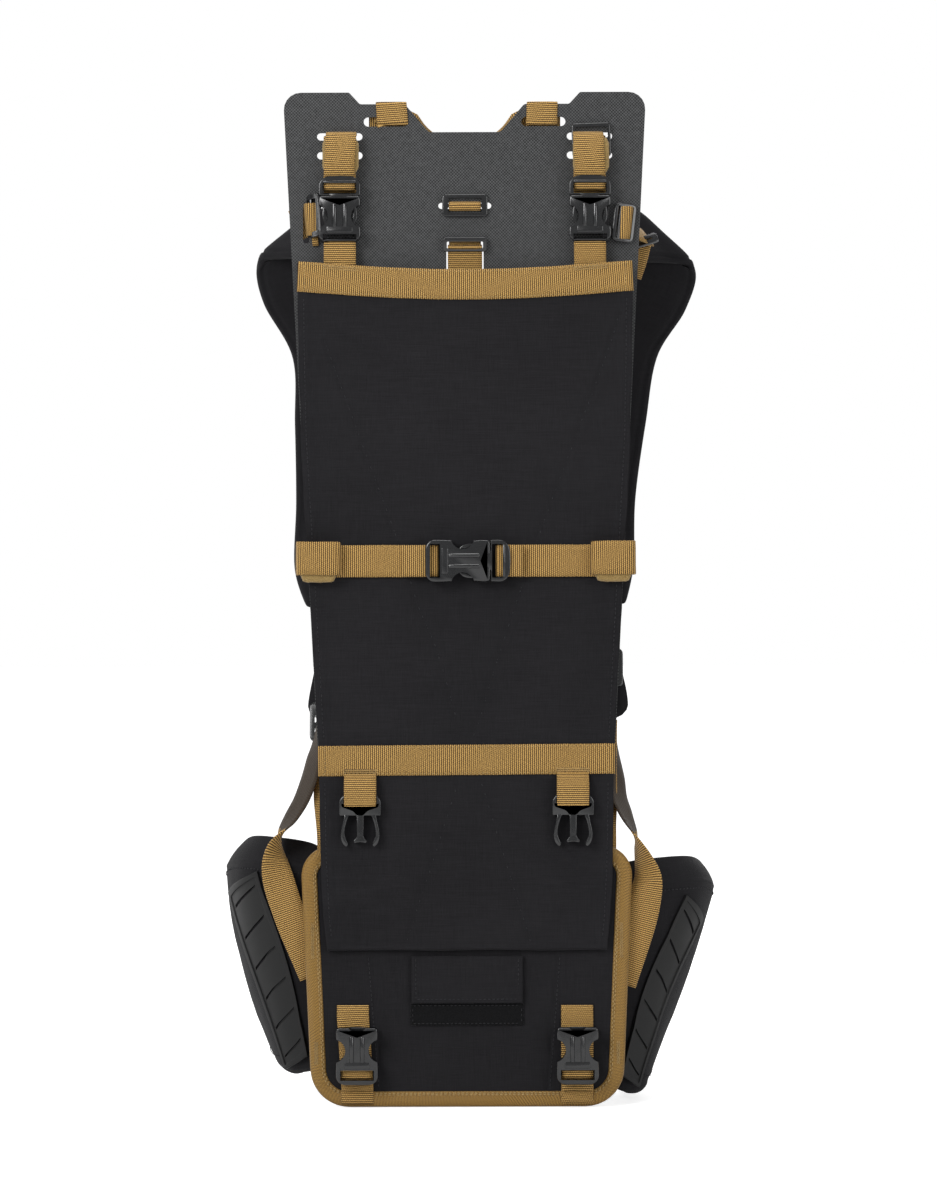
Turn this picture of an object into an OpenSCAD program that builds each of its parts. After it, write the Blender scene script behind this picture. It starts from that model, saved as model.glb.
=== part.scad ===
// Load-hauling pack: a flat frame sheet with a folding load panel, harness and hip belt.
// Heights are measured from the foot of the lower panel; -Y faces the load, +Y the wearer.

/* [Frame sheet] */
// Height of the top edge of the sheet
frame_top_z = 804; // [780:1:860]
// Height of the lower edge of the sheet
frame_foot_z = 16; // [12:1:30]
// Width of the sheet at its top edge
frame_top_w = 288; // [280:1:310]
// Width of the sheet at its lower edge
frame_foot_w = 209; // [200:1:212]
// Thickness of the sheet
frame_t = 3; // [2:0.1:4]
// Height of the two steps that carry the webbing loops
step_z = 794.7; // [793:0.1:797]
// Height of the floor of the notch
notch_z = 772.4; // [766:0.1:776]

/* [Webbing] */
// Width of the main webbing
web = 25.4; // [22:0.2:26]
// Thickness of the webbing
web_t = 1.5; // [1:0.1:1.6]
// Gap between webbing or soft parts and what they lie on
lie_gap = 0.3; // [0.2:0.05:0.4]

/* [Side-release buckles] */
// Width of the rail on each side of a buckle
rail = 3.2; // [2.6:0.1:3.6]
// Half thickness of a socket
socket_half_t = 6; // [5.8:0.1:6.4]
// Depth of a socket's cavity
cavity_depth = 26; // [25:0.5:28]
// Clearance between plug and socket
plug_gap = 0.4; // [0.3:0.05:0.6]

/* [Load panel] */
// Height of the fold at the foot of the load panel
fold_z = 125; // [124:1:130]
// Height of the panel's top edge
panel_top_z = 668; // [650:1:670]
// Width of the panel at the top
panel_top_w = 265; // [255:1:270]
// Width of the panel at the fold
panel_fold_w = 221; // [215:1:226]
// Thickness of the panel
panel_t = 2.5; // [1.5:0.1:2.6]
// Height of the middle of the lower bar
lower_bar_z = 275; // [262:1:300]

/* [Compression strap] */
// Height of the middle of the strap
strap_z = 432.2; // [410:0.1:460]

/* [Lower panel] */
// Height of the lower panel
lower_panel_h = 207; // [202:1:209]
// Width of the lower panel at the top
lower_panel_w = 262; // [256:1:266]
// Thickness of the lower panel
lower_panel_t = 8; // [6:0.1:8]
// Width of the binding
binding_w = 13; // [9:0.5:14]

/* [Harness] */
// Width of a padded shoulder strap
shoulder_w = 72; // [60:1:76]
// Thickness of a padded shoulder strap
shoulder_t = 13; // [9:1:15]
// Height of the sternum strap
sternum_z = 540; // [520:1:560]

/* [Hip belt] */
// Thickness of the wings
wing_t = 20; // [14:1:22]
// Width of the belt webbing
belt_web = 38; // [32:1:40]

/* [Hidden] */
$fn = 32;

tan_webbing = "#93703a";
black_fabric = "#26252a";
black_plastic = "#17181a";
carbon = "#434546";
rubber = "#1d1e20";

// The origin is on the wearer's side of the lumbar pad, where the pack is carried
lumbar_t = 24;
seat_y = frame_t + lie_gap + lumbar_t;
seat_z = 115;

// Layers on the load side, from the sheet outwards
panel_y = -11.1;
panel_front_y = panel_y - panel_t;
bar_t = 1.3;
top_buckle_y = -8.5;
ribbon_y = panel_front_y - bar_t - web_t / 2;
mid_buckle_y = ribbon_y - 5.1;
base_webbing_y = -(lower_panel_t + 2.1);
base_buckle_y = base_webbing_y - web_t / 2 - socket_half_t - 0.5;

// How webbing passes round a bar of a buckle
bar_half = 1.3;
leg_offset = bar_half + lie_gap + web_t / 2;
bar_y = 0.7;
bar_room = bar_half + 2 * lie_gap + web_t;

// Places of the paired pieces, from the middle
top_strap_x = 99;
top_slot_z = 769;
top_mouth_z = panel_top_z + 53;
tab_x = 84;
base_x = 87;
loop_x = 62.5;
torso_cut_z = 645;
lifter_x = 125.4;
lifter_z = 699.5;

// ---------- Points and outlines ----------

function rev(p) = [for (i = [len(p) - 1:-1:0]) p[i]];

function unit(v) = v / norm(v);

// Right-hand points followed by their mirror images
function both(p) = concat(p, rev([for (q = p) [-q.x, q.y]]));

function corner_arc(p, a, b, r, n) =
    let (
        ang = acos(a * b),
        c = p + unit(a + b) * r / sin(ang / 2),
        s = p + a * r / tan(ang / 2) - c,
        e = p + b * r / tan(ang / 2) - c,
        sweep = (180 - ang) * sign(cross(s, e))
    )
    [
        for (k = [0:n])
        let (t = sweep * k / n)
        c + [s.x * cos(t) - s.y * sin(t), s.x * sin(t) + s.y * cos(t)]
    ];

// Outline with each corner rounded to its own radius
function rounded(pts, radii, n = 5) = [
    for (i = [0:len(pts) - 1])
    let (
        p = pts[i],
        q = pts[(i + len(pts) - 1) % len(pts)],
        s = pts[(i + 1) % len(pts)]
    )
    each (radii[i] > 0 ? corner_arc(p, unit(q - p), unit(s - p), radii[i], n) : [p])
];

function rounded_box(w, h, r) = rounded(
    [[w / 2, -h / 2], [w / 2, h / 2], [-w / 2, h / 2], [-w / 2, -h / 2]], [r, r, r, r]
);

// One side of a strip of webbing that follows a path
function beside(path, d) = [
    for (i = [0:len(path) - 1])
    let (
        a = i > 0 ? unit(path[i] - path[i - 1]) : unit(path[1] - path[0]),
        b = i < len(path) - 1 ? unit(path[i + 1] - path[i]) : a,
        m = unit(a + b)
    )
    path[i] + [-m.y, m.x] * d / (m * a)
];

function strip(path, t) = concat(beside(path, t / 2), rev(beside(path, -t / 2)));

// ---------- Building blocks ----------

module seated() translate([0, -seat_y, -seat_z]) children();

module on_side(side) {
    if (side > 0) children();
    else mirror([1, 0, 0]) children();
}

// An outline in X and Z, drawn out between two values of Y
module upright(outline, y0, y1) {
    translate([0, y1, 0]) rotate([90, 0, 0]) linear_extrude(y1 - y0) polygon(outline);
}

// An outline in Y and Z, drawn out along X about x
module crosswise(outline, w, x = 0) {
    translate([x - w / 2, 0, 0]) rotate([90, 0, 90]) linear_extrude(w) polygon(outline);
}

// An outline in X and Y, drawn out along Z about z
module level(outline, h, z = 0) {
    translate([0, 0, z - h / 2]) linear_extrude(h) polygon(outline);
}

module block(x0, x1, y0, y1, z0, z1) {
    translate([x0, y0, z0]) cube([x1 - x0, y1 - y0, z1 - z0]);
}

// A slot with round ends through the sheet
module slot(x, z, w, h) {
    r = min(w, h) / 2;
    long_x = w > h;
    translate([x, frame_t + 1, z]) rotate([90, 0, 0]) linear_extrude(frame_t + 2) {
        square([long_x ? w - 2 * r : w, long_x ? h : h - 2 * r], center = true);
        for (s = [-1, 1])
            translate(long_x ? [s * (w / 2 - r), 0] : [0, s * (h / 2 - r)]) circle(r);
    }
}

// A solid through rings of equally many points
module loft(rings) {
    n = len(rings[0]);
    m = len(rings);
    sides = [
        for (i = [0:m - 2])
        for (j = [0:n - 1])
        let (a = i * n + j, b = i * n + (j + 1) % n)
        each [[a, a + n, b + n], [a, b + n, b]]
    ];
    polyhedron(
        points = [for (r = rings) each r],
        faces = concat([[for (j = [0:n - 1]) j]], sides, [[for (j = [n - 1:-1:0]) (m - 1) * n + j]])
    );
}

function tangent(p, i) = unit(p[min(i + 1, len(p) - 1)] - p[max(i - 1, 0)]);

// A smooth line through rows of numbers, at u counted in rows
function spline(p, u) =
    let (
        i = min(floor(u), len(p) - 2),
        f = u - i,
        a = p[max(i - 1, 0)],
        b = p[i],
        c = p[i + 1],
        d = p[min(i + 2, len(p) - 1)]
    )
    b + (c - a) * f / 2 + (2 * a - 5 * b + 4 * c - d) * f * f / 2 + (3 * b - a - 3 * c + d) * f * f * f / 2;

// Rings of a flat band: path, direction of its width, widths and thickness. A square band's width
// is turned square to its path; otherwise the band folds over obliquely.
function band_rings(path, sides, widths, t, edge, square = true) = [
    for (i = [0:len(path) - 1])
    let (
        d = tangent(path, i),
        s = unit(square ? sides[i] - d * (sides[i] * d) : sides[i]),
        n = unit(cross(d, s)),
        w = widths[i] / 2,
        h = t / 2
    )
    [
        for (q = [[w - edge, -h], [w, -h + edge], [w, h - edge], [w - edge, h],
                  [edge - w, h], [-w, h - edge], [-w, edge - h], [edge - w, -h]])
        path[i] + s * q.x + n * q.y
    ]
];

module band(path, sides, widths, t, edge, square = true)
    loft(band_rings(path, sides, widths, t, edge, square));

// ---------- Buckles: mouth at z = 0, the plug enters downwards, -Y is the outer face ----------

function window_half(w) = w / 2 + 0.6;

function buckle_half(w) = window_half(w) + rail;

function cavity_half(w) = buckle_half(w) - 2.4;

// Height of the bar that the webbing turns round, above the plug's plate
function plug_bar_z(plate) = plate + bar_room;

// The bar that the webbing turns round
module round_bar(w, z) {
    translate([0, bar_y, z]) rotate([0, 90, 0])
        cylinder(h = 2 * window_half(w) + 1, r = bar_half, center = true);
}

module socket(w, body, adjuster) {
    half = buckle_half(w);
    bar_z = -body - 3 - bar_room;
    foot_z = adjuster ? bar_z - bar_half - 6.2 : bar_z - bar_half - 0.7;
    t = socket_half_t;
    difference() {
        upright(rounded(
            [[half, foot_z], [half, -body + 1], [half - 1.4, -body * 0.55], [half, -4], [half, 0],
             [-half, 0], [-half, -4], [1.4 - half, -body * 0.55], [-half, -body + 1], [-half, foot_z]],
            [3, 4, 8, 4, 1.5, 1.5, 4, 8, 4, 3]
        ), -t, t);
        block(-cavity_half(w), cavity_half(w), -t + 2.1, t - 2.1, -cavity_depth, 1);
        for (s = [-1, 1])
            translate([s * half, 0, -cavity_depth + 9.5]) cube([8.4, 2 * t + 1, 12], center = true);
        upright([[-w * 0.32, 1], [0, -8], [w * 0.32, 1]], -t - 1, -t + 3);
        block(-window_half(w), window_half(w), -t - 1, t + 1, foot_z - 1, -body - 3);
    }
    round_bar(w, bar_z);
    if (adjuster)
        block(-window_half(w) - 0.5, window_half(w) + 0.5, -t + 0.6, -t + 3, foot_z, foot_z + 3.4);
}

module plug(w, plate, adjuster, swing = 0) {
    half = buckle_half(w);
    inner = cavity_half(w) - plug_gap;
    t = socket_half_t - 2.1 - plug_gap - 0.2;
    bar_z = plug_bar_z(plate) + swing;
    top_z = adjuster ? bar_z + bar_half + 5.9 : bar_z + bar_half + 0.7;
    front = adjuster ? t + 1.4 : t;
    difference() {
        upright(rounded(
            [[half, plug_gap], [half, top_z], [-half, top_z], [-half, plug_gap]], [2, 1.2, 1.2, 2]
        ), -front, t + 0.5);
        block(-window_half(w), window_half(w), -9, 9, plate, top_z + 1);
    }
    round_bar(w, bar_z);
    if (adjuster)
        block(-window_half(w) - 0.5, window_half(w) + 0.5, -front, -front + 2, top_z - 3, top_z);
    upright(rounded(
        [[3, plug_gap + 0.5], [3, -18], [5, -18], [5, -20.5], [-5, -20.5], [-5, -18], [-3, -18],
         [-3, plug_gap + 0.5]], [0, 1, 0.5, 1, 1, 0.5, 1, 0]
    ), -t, t);
    for (s = [-1, 1])
        upright([
            for (q = [[inner - 3.4, plug_gap + 0.5], [inner - 2.4, -8], [inner - 1, -13], [inner, -17],
                      [inner, -20], [inner - 2.6, -24], [inner - 5, -24], [inner - 6, -19],
                      [inner - 6.4, -9], [inner - 7.6, plug_gap + 0.5]])
            [s * q.x, q.y]
        ], -t, t);
}

// Webbing round a plug's bar, with both legs drawn up to z_front and z_back
function plug_loop(plate, z_front, z_back) =
    let (z = plug_bar_z(plate) - leg_offset)
    [[bar_y - leg_offset, z_front], [bar_y - leg_offset, z], [bar_y + leg_offset, z],
     [bar_y + leg_offset, z_back]];

// A rolled tail of webbing, seen as a w by h pad that rises from its back at y = 0
module tail_roll(w, h, t) {
    crosswise(rounded([[0, -h / 2], [0, h / 2], [-t, h / 2], [-t, -h / 2]], [3, 3, t * 0.45, t * 0.45]), w);
}

module triglide(w, h, t, rail) {
    difference() {
        upright(rounded_box(w, h, 3), -t, 0);
        upright(rounded_box(w - 2 * rail, h - 7, 1), -t - 1, 1);
    }
}

// ---------- Frame ----------

function sheet_half(z) = (frame_foot_w
    + (frame_top_w - frame_foot_w) * (z - frame_foot_z) / (frame_top_z - frame_foot_z)) / 2;

module frame_sheet() color(carbon) seated() difference() {
    upright(rounded(both(
        [[frame_foot_w / 2, frame_foot_z], [frame_top_w / 2, frame_top_z], [91.6, frame_top_z],
         [83, step_z], [47.4, step_z], [28.4, notch_z]]),
        [10, 13.5, 2, 3, 4, 6, 6, 4, 3, 2, 13.5, 10]
    ), 0, frame_t);
    for (s = [-1, 1]) {
        slot(s * loop_x, step_z - 14, 35, 7.5);
        slot(s * top_strap_x, top_slot_z, 36, 6);
        slot(s * top_strap_x, top_slot_z - 15, 36, 6);
        slot(s * (lifter_x - 13.7), lifter_z, 5, 30);
        slot(s * (lifter_x + 0.5), lifter_z, 5, 30);
        slot(s * compression_slot_x, strap_z, 6, 30);
    }
    slot(0, 714, 42, 5);
    block(-14.75, 14.75, -1, frame_t + 1, torso_cut_z, torso_cut_z + 44);
}

function loop_ring(y0, y1, z0, z1, r) = rounded([[y0, z0], [y1, z0], [y1, z1], [y0, z1]], [r, r, r, r]);

module handle_loops() color(tan_webbing) seated() for (s = [-1, 1]) difference() {
    crosswise(loop_ring(-lie_gap - web_t, frame_t + lie_gap + web_t, step_z - 16.5,
                        step_z + lie_gap + web_t, 1.6), 24.5, s * (loop_x - 2));
    crosswise(loop_ring(-lie_gap, frame_t + lie_gap, step_z - 15, step_z + lie_gap, 0.5), 30,
              s * (loop_x - 2));
}

handle_w = 20;
handle_drop = 38;
module haul_handle() color(tan_webbing) seated() {
    y = frame_t + lie_gap + web_t + 1.4;
    half = [
        for (q = [[72, 0, 0], [58, 0, 0], [47, 0, 0], [43, 2, 2], [36, 10, 10], [23, 26, 19],
                  [8, handle_drop - 3, 23]])
        [q.x, y + q.y, step_z - 13 - q.z]
    ];
    path = concat(half, rev([for (q = half) [-q.x, q.y, q.z]]));
    band(path, [for (q = path) [0, 0, 1]], [for (q = path) handle_w], 2.2, 0.4);
}

// ---------- Top straps ----------

back_y = frame_t + lie_gap + web_t / 2;
front_y = -lie_gap - web_t / 2;

module top_straps() color(tan_webbing) seated() for (s = [-1, 1])
    crosswise(strip([[back_y, top_slot_z - 34], [back_y, top_slot_z], [front_y, top_slot_z],
                     [front_y, top_mouth_z + 4]], web_t), web, s * top_strap_x);

module triglides() color(black_plastic) seated() {
    translate([top_strap_x, front_y - web_t / 2 - 0.2, 765.5]) triglide(31, 27, 2.2, 2.3);
    translate([0, -0.5, 714]) triglide(36, 17.7, 3.2, 4.5);
}

top_roll_h = 35;
module top_plug(side) color(black_plastic) seated()
    translate([side * top_strap_x, top_buckle_y, top_mouth_z]) plug(web, 4.2, true);

module top_tail(side) color(tan_webbing) seated()
    translate([side * top_strap_x, top_buckle_y, top_mouth_z]) {
        crosswise(strip(plug_loop(4.2, 18, 24), web_t), web);
        translate([0, 2.6, 33]) tail_roll(28, top_roll_h, 9.5);
    }

module top_plug_left() top_plug(-1);
module top_plug_right() top_plug(1);
module top_tail_left() top_tail(-1);
module top_tail_right() top_tail(1);

// ---------- Load panel ----------

hinge_y = panel_y - panel_t / 2;
hinge_z = fold_z + 2.4;

function panel_half(z) = lookup(z, [
    [fold_z, panel_fold_w / 2], [200, panel_fold_w / 2 + 5.5], [354, panel_top_w / 2 - 12],
    [531, panel_top_w / 2 - 2], [panel_top_z, panel_top_w / 2]
]);

module load_panel() color(black_fabric) seated() {
    upright(both([for (z = [hinge_z, 200, 354, 531, panel_top_z]) [panel_half(z), z]]),
            panel_front_y, panel_y);
    translate([0, hinge_y, hinge_z]) rotate([0, 90, 0])
        cylinder(h = 2 * panel_half(hinge_z), r = 2.4, center = true);
}

bar_h = 24;
module bar_strip(z) {
    upright([[panel_half(z), z - bar_h / 2], [panel_half(z), z + bar_h / 2],
             [-panel_half(z), z + bar_h / 2], [-panel_half(z), z - bar_h / 2]],
            panel_front_y - bar_t, panel_front_y);
}

module load_panel_top_bar() color(tan_webbing) seated() {
    bar_strip(panel_top_z - bar_h / 2);
    block(-panel_top_w / 2, panel_top_w / 2, panel_front_y - bar_t, panel_y,
          panel_top_z, panel_top_z + bar_t);
}

module load_panel_lower_bar() color(tan_webbing) seated() bar_strip(lower_bar_z);

module load_panel_anchor() color(black_fabric) seated()
    block(-panel_fold_w / 2 + 4, panel_fold_w / 2 - 4, -lower_panel_t - 1.5, -lower_panel_t,
          hinge_z - 2, hinge_z + 24);

socket_body = 28;
module top_tabs() color(tan_webbing) seated() for (s = [-1, 1])
    crosswise(strip(
        let (z = top_mouth_z - socket_body - 3 - bar_room + leg_offset)
        [[top_buckle_y + bar_y - leg_offset, panel_top_z - 18],
         [top_buckle_y + bar_y - leg_offset, z], [top_buckle_y + bar_y + leg_offset, z],
         [top_buckle_y + bar_y + leg_offset, panel_top_z + 6]], web_t), web, s * top_strap_x);

module top_sockets() color(black_plastic) seated() for (s = [-1, 1])
    translate([s * top_strap_x, top_buckle_y, top_mouth_z]) socket(web, socket_body, false);

tab_bar_y = panel_front_y - 4.1;
tab_bar_z = 246;
hang_swing = 1.6;
module lower_tabs() color(tan_webbing) seated() for (s = [-1, 1])
    crosswise(strip(
        let (z = tab_bar_z - leg_offset, top = lower_bar_z - bar_h / 2)
        [[panel_front_y - web_t / 2, top - 0.2], [tab_bar_y + leg_offset, top - 5],
         [tab_bar_y + leg_offset, z], [tab_bar_y - leg_offset, z], [tab_bar_y - leg_offset, top - 11],
         [tab_bar_y + leg_offset - web_t - 0.2, top - 5]], web_t), web, s * tab_x);

module lower_plug(side) color(black_plastic) seated()
    translate([side * tab_x, tab_bar_y - bar_y, tab_bar_z - plug_bar_z(10) - hang_swing])
        plug(web, 10, false, hang_swing);

module lower_plug_left() lower_plug(-1);
module lower_plug_right() lower_plug(1);

// ---------- Compression strap ----------

edge_x = sheet_half(strap_z + web / 2) + lie_gap + web_t;
compression_slot_x = sheet_half(strap_z) - 12;
strap_axis_x = edge_x + 2.2;
strap_axis_y = frame_t / 2;
mid_mouth_x = 19;

module compression_anchors() color(tan_webbing) seated() for (s = [-1, 1]) on_side(s) difference() {
    level(rounded([[compression_slot_x - 1.5, -lie_gap - web_t], [edge_x, -lie_gap - web_t],
                   [edge_x, frame_t + lie_gap + web_t],
                   [compression_slot_x - 1.5, frame_t + lie_gap + web_t]], [1.5, 1.5, 1.5, 1.5]),
          web, strap_z);
    level([[compression_slot_x, -lie_gap], [edge_x - web_t, -lie_gap],
           [edge_x - web_t, frame_t + lie_gap], [compression_slot_x, frame_t + lie_gap]], web + 2, strap_z);
}

module strap_root() {
    translate([strap_axis_x, strap_axis_y, strap_z]) cylinder(h = web, r = 1.4, center = true);
}

// Path of one half of the strap from its hinge to the distance x from the middle
function strap_path(x) = [[strap_axis_x, strap_axis_y], [strap_axis_x, ribbon_y + 5],
                          [strap_axis_x - 4, ribbon_y], [x, ribbon_y]];

module compression_strap_left() color(tan_webbing) seated() {
    mirror([1, 0, 0]) {
        strap_root();
        level(strip(strap_path(34), web_t), web, strap_z);
    }
    z = mid_mouth_x - 37 - 3 - bar_room + leg_offset;
    y = mid_buckle_y + bar_y;
    level(strip([[-44, y + leg_offset], [z, y + leg_offset], [z, y - leg_offset], [-50, y - leg_offset]],
                web_t), web, strap_z);
    block(-50, -44, y - leg_offset, ribbon_y, strap_z - web / 2, strap_z + web / 2);
}

module compression_strap_right() color(tan_webbing) seated() {
    strap_root();
    level(strip(strap_path(mid_mouth_x + 6), web_t), web, strap_z);
}

module compression_tail(side) color(tan_webbing) seated() on_side(side)
    translate([strap_axis_x - 14, ribbon_y - web_t / 2, strap_z]) tail_roll(36, 34, 9.5);

module compression_tail_left() compression_tail(-1);
module compression_tail_right() compression_tail(1);

module along_strap() translate([mid_mouth_x, mid_buckle_y, strap_z]) rotate([0, 90, 0]) children();

module compression_socket() color(black_plastic) seated() along_strap() socket(web, 37, true);
module compression_plug() color(black_plastic) seated() along_strap() plug(web, 4.2, true);
module compression_plug_loop() color(tan_webbing) seated() along_strap()
    crosswise(strip(plug_loop(4.2, 26, 26), web_t), web);

// ---------- Lower panel ----------

function lower_outline(inset) = rounded(both(
    [[124.5 - inset, inset], [lower_panel_w / 2 - inset, lower_panel_h - inset]]),
    [31 - inset, 24 - inset, 24 - inset, 31 - inset]);

module lower_panel() color(black_fabric) seated() upright(lower_outline(2), -lower_panel_t, 0);

module lower_panel_binding() color(tan_webbing) seated() difference() {
    upright(lower_outline(0), -lower_panel_t - 1, 0);
    upright(lower_outline(binding_w), -lower_panel_t - 2, 1);
    upright(lower_outline(2), -lower_panel_t, 1);
}

flap_axis_z = 119.5;
flap_half = 44;
module pocket_flap() color(black_fabric) seated() {
    block(-flap_half, flap_half, -lower_panel_t - 2.4, -lower_panel_t - 0.4, 82.5, flap_axis_z);
    translate([0, -lower_panel_t - 1.4, flap_axis_z]) rotate([0, 90, 0])
        cylinder(h = 2 * flap_half, r = 1, center = true);
}

module flap_loop_strip() color(black_fabric) seated()
    block(-flap_half - 0.5, flap_half + 0.5, -lower_panel_t - 1.2, -lower_panel_t, 65, 82);

module base_webbing() color(tan_webbing) seated() for (s = [-1, 1])
    crosswise(strip([[-lower_panel_t - 1 - web_t / 2, 4], [base_webbing_y, 14], [base_webbing_y, 58],
                     [-lower_panel_t - web_t / 2, 68], [-lower_panel_t - web_t / 2, 81]], web_t),
              web, s * base_x);

module base_socket(side) color(black_plastic) seated()
    translate([side * base_x, base_buckle_y, 64]) socket(web, 31, true);

module base_socket_left() base_socket(-1);
module base_socket_right() base_socket(1);

// ---------- Torso adjuster and load lifters ----------

module torso_strap() color(tan_webbing) seated() {
    crosswise(strip([[front_y, torso_cut_z - 5], [front_y, torso_cut_z + 34],
                     [back_y, torso_cut_z + 37], [back_y, 614]], web_t), web);
    block(-web / 2, web / 2, -3.4, -1.9, 709.8, 718.2);
    block(-web / 2, web / 2, -1.9, back_y, 712.2, 715.8);
    block(-web / 2, web / 2, back_y - web_t / 2, back_y + web_t / 2, 690, 715.8);
}

lock_t = 4;
// A flat ring with windows of one height, each at its own place along z
module ladder_lock(w, h, window, places) {
    difference() {
        upright(rounded_box(w, h, 2.5), -lock_t, 0);
        for (z = places)
            translate([0, 0, z]) upright(rounded_box(w - 6, window, 0.8), -lock_t - 1, 1);
    }
}

module frame_ladder_locks() color(black_plastic) seated() {
    for (s = [-1, 1])
        translate([s * lifter_x, -2 * lie_gap - web_t, lifter_z]) rotate([0, 90, 0])
            ladder_lock(31, 19, 5, [-4, 4]);
    translate([0, front_y - web_t / 2 - lie_gap, torso_cut_z + 38]) ladder_lock(35, 10, 4, [0]);
}

// Where the lifter's webbing turns round the edge of the sheet, and where its outer layer lies
lifter_edge_x = sheet_half(lifter_z) + lie_gap + web_t / 2 + 0.6;
lifter_outer_x = lifter_edge_x + web_t + lie_gap;
lifter_web = 24.5;

module lifter_anchors() color(tan_webbing) seated() for (s = [-1, 1]) on_side(s)
    level(strip([[lifter_x - 5, front_y], [lifter_edge_x, front_y], [lifter_edge_x, frame_t + 5]], web_t),
          lifter_web, lifter_z);

module lifter_strap(side) color(tan_webbing) seated() on_side(side)
    level(strip([[lifter_outer_x, 1.5], [lifter_outer_x, 14], [lifter_outer_x - 3, 32],
                 [lifter_outer_x - 9.5, 42.2]], web_t), lifter_web, lifter_z);

module lifter_strap_left() lifter_strap(-1);
module lifter_strap_right() lifter_strap(1);

// ---------- Back pads ----------

module pad(outline, t) {
    upright(outline, frame_t + lie_gap, frame_t + lie_gap + t);
}

back_pad_z = 375;
back_pad_w = 130;
back_pad_h = 270;
module back_pad() color(black_fabric) seated()
    translate([0, 0, back_pad_z]) pad(rounded_box(back_pad_w, back_pad_h, 24), 14);

yoke_z = 600;
yoke_t = 9;
module yoke_pad() color(black_fabric) seated() translate([0, web_t + lie_gap, yoke_z])
    pad(rounded_box(150, 76, 18), yoke_t);

lumbar_h = 168;
lumbar_w = 222;
module lumbar_pad() color(black_fabric) seated()
    translate([0, 0, seat_z]) pad(rounded_box(lumbar_w, lumbar_h, 26), lumbar_t);

// ---------- Shoulder straps ----------

// Rows along the middle of a strap: x, y, z, width, and the direction of its width
shoulder_rows_left = [
    [44, 21.8, 628, 40, 1, 0, 0], [50, 22, 645, 46, 1, 0.06, 0], [64, 29, 664, 54, 1, 0, -0.1],
    [90, 50, 683, 64, 1, 0.1, -0.3], [122, 72, 698, 72, 0.83, 0.15, -0.54],
    [140, 87, 694, 72, 0.83, 0.2, -0.57], [131, 103, 655, 72, 0.93, 0.2, -0.3],
    [106, 117, 603, 72, 1, 0.1, -0.05], [104, 124, 545, 72, 1, 0, 0], [103, 119, 482, 72, 1, 0, 0],
    [105, 108, 428, 70, 1, 0, 0], [104, 95, 396, 52, 1, 0, 0]
];
shoulder_rows_right = [
    [44, 21.8, 628, 40, 1, 0, 0], [50, 22, 645, 46, 1, 0.06, 0], [66, 29, 664, 54, 1, 0, -0.1],
    [96, 51, 682, 64, 1, 0.1, -0.35], [135, 76, 697, 72, 0.77, 0.15, -0.63],
    [160, 88, 691, 72, 0.76, 0.2, -0.63], [148, 103, 653, 72, 0.9, 0.2, -0.4],
    [122, 117, 605, 72, 1, 0.1, -0.1], [112, 124, 547, 72, 1, 0, 0], [103, 119, 484, 72, 1, 0, 0],
    [102, 108, 430, 70, 1, 0, 0], [104, 95, 398, 52, 1, 0, 0]
];
shoulder_steps = 3;

function shoulder_row(side, i) =
    spline(side > 0 ? shoulder_rows_right : shoulder_rows_left, i / shoulder_steps);

function shoulder_path(side) = [
    for (i = [0:shoulder_steps * (len(shoulder_rows_left) - 1)]) [for (k = [0:2]) shoulder_row(side, i)[k]]
];

module shoulder_pad(side) color(black_fabric) seated() on_side(side) {
    rows = [for (i = [0:len(shoulder_path(side)) - 1]) shoulder_row(side, i)];
    band([for (r = rows) [r[0], r[1], r[2]]], [for (r = rows) [r[4], r[5], r[6]]],
         [for (r = rows) r[3] / 72 * shoulder_w], shoulder_t, 4, false);
}

module shoulder_pad_left() shoulder_pad(-1);
module shoulder_pad_right() shoulder_pad(1);

module shoulder_lock(side) color(black_plastic) seated() on_side(side) {
    path = shoulder_path(side);
    last = len(path) - 1;
    end = path[last];
    d = tangent(path, last);
    band([end + 0.5 * d, end + 8 * d, [103, 86, 360], [110, 80, 335]],
         [[1, 0, 0], [1, 0, 0], [1, 0, 0], [1, 0, 0]], [40, 38, 34, 30], 3, 1, false);
    translate([110, 78, 318]) rotate([-15, 0, 0]) difference() {
        upright(rounded_box(36, 34, 5), -3, 3);
        block(-13.2, 13.2, -4, 4, -12, -6);
        block(-13.2, 13.2, -4, 4, -1, 5);
    }
}

module shoulder_lock_left() shoulder_lock(-1);
module shoulder_lock_right() shoulder_lock(1);

lower_axis_y = 5.6;
lower_axis_z = 222;
leg_x = 106;
module lower_strap(side) color(tan_webbing) seated() on_side(side) {
    band([[leg_x, lower_axis_y, lower_axis_z], [leg_x + 1, 38, 262], [leg_x + 3, 67, 298]],
         [[1, 0, 0], [1, 0, 0], [1, 0, 0]], [web, web, web], web_t, 0.3);
    band([[146, lower_axis_y + 1, lower_axis_z], [143, 22, 240], [135, 44, 266], [124, 64, 290]],
         [[0.5, 1, 0], [0.8, 0.8, 0], [1, 0.4, 0], [1, 0, 0]], [10, web, web, web], web_t, 0.3);
}

module lower_strap_left() lower_strap(-1);
module lower_strap_right() lower_strap(1);

tail_rows = [[146, 5, -5.5], [149, 1, -22], [148, 1.5, -44], [141, 2, -82], [133, 3.4, -118]];
module strap_tails() color(tan_webbing) seated() for (s = [-1, 1]) on_side(s) {
    band([for (q = tail_rows) [q.x, q.y, lower_axis_z + q.z]],
         [[0.5, 0.9, 0], [1, 0.3, 0.3], [1, 0.1, 0.35], [1, 0, 0.35], [1, 0, 0.3]],
         [10, web, web, web, web], web_t, 0.3);
    block(leg_x - web / 2, leg_x + web / 2, frame_t + lie_gap, frame_t + lie_gap + web_t,
          seat_z + lumbar_h / 2 + 1, lower_axis_z - 0.6);
}

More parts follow.
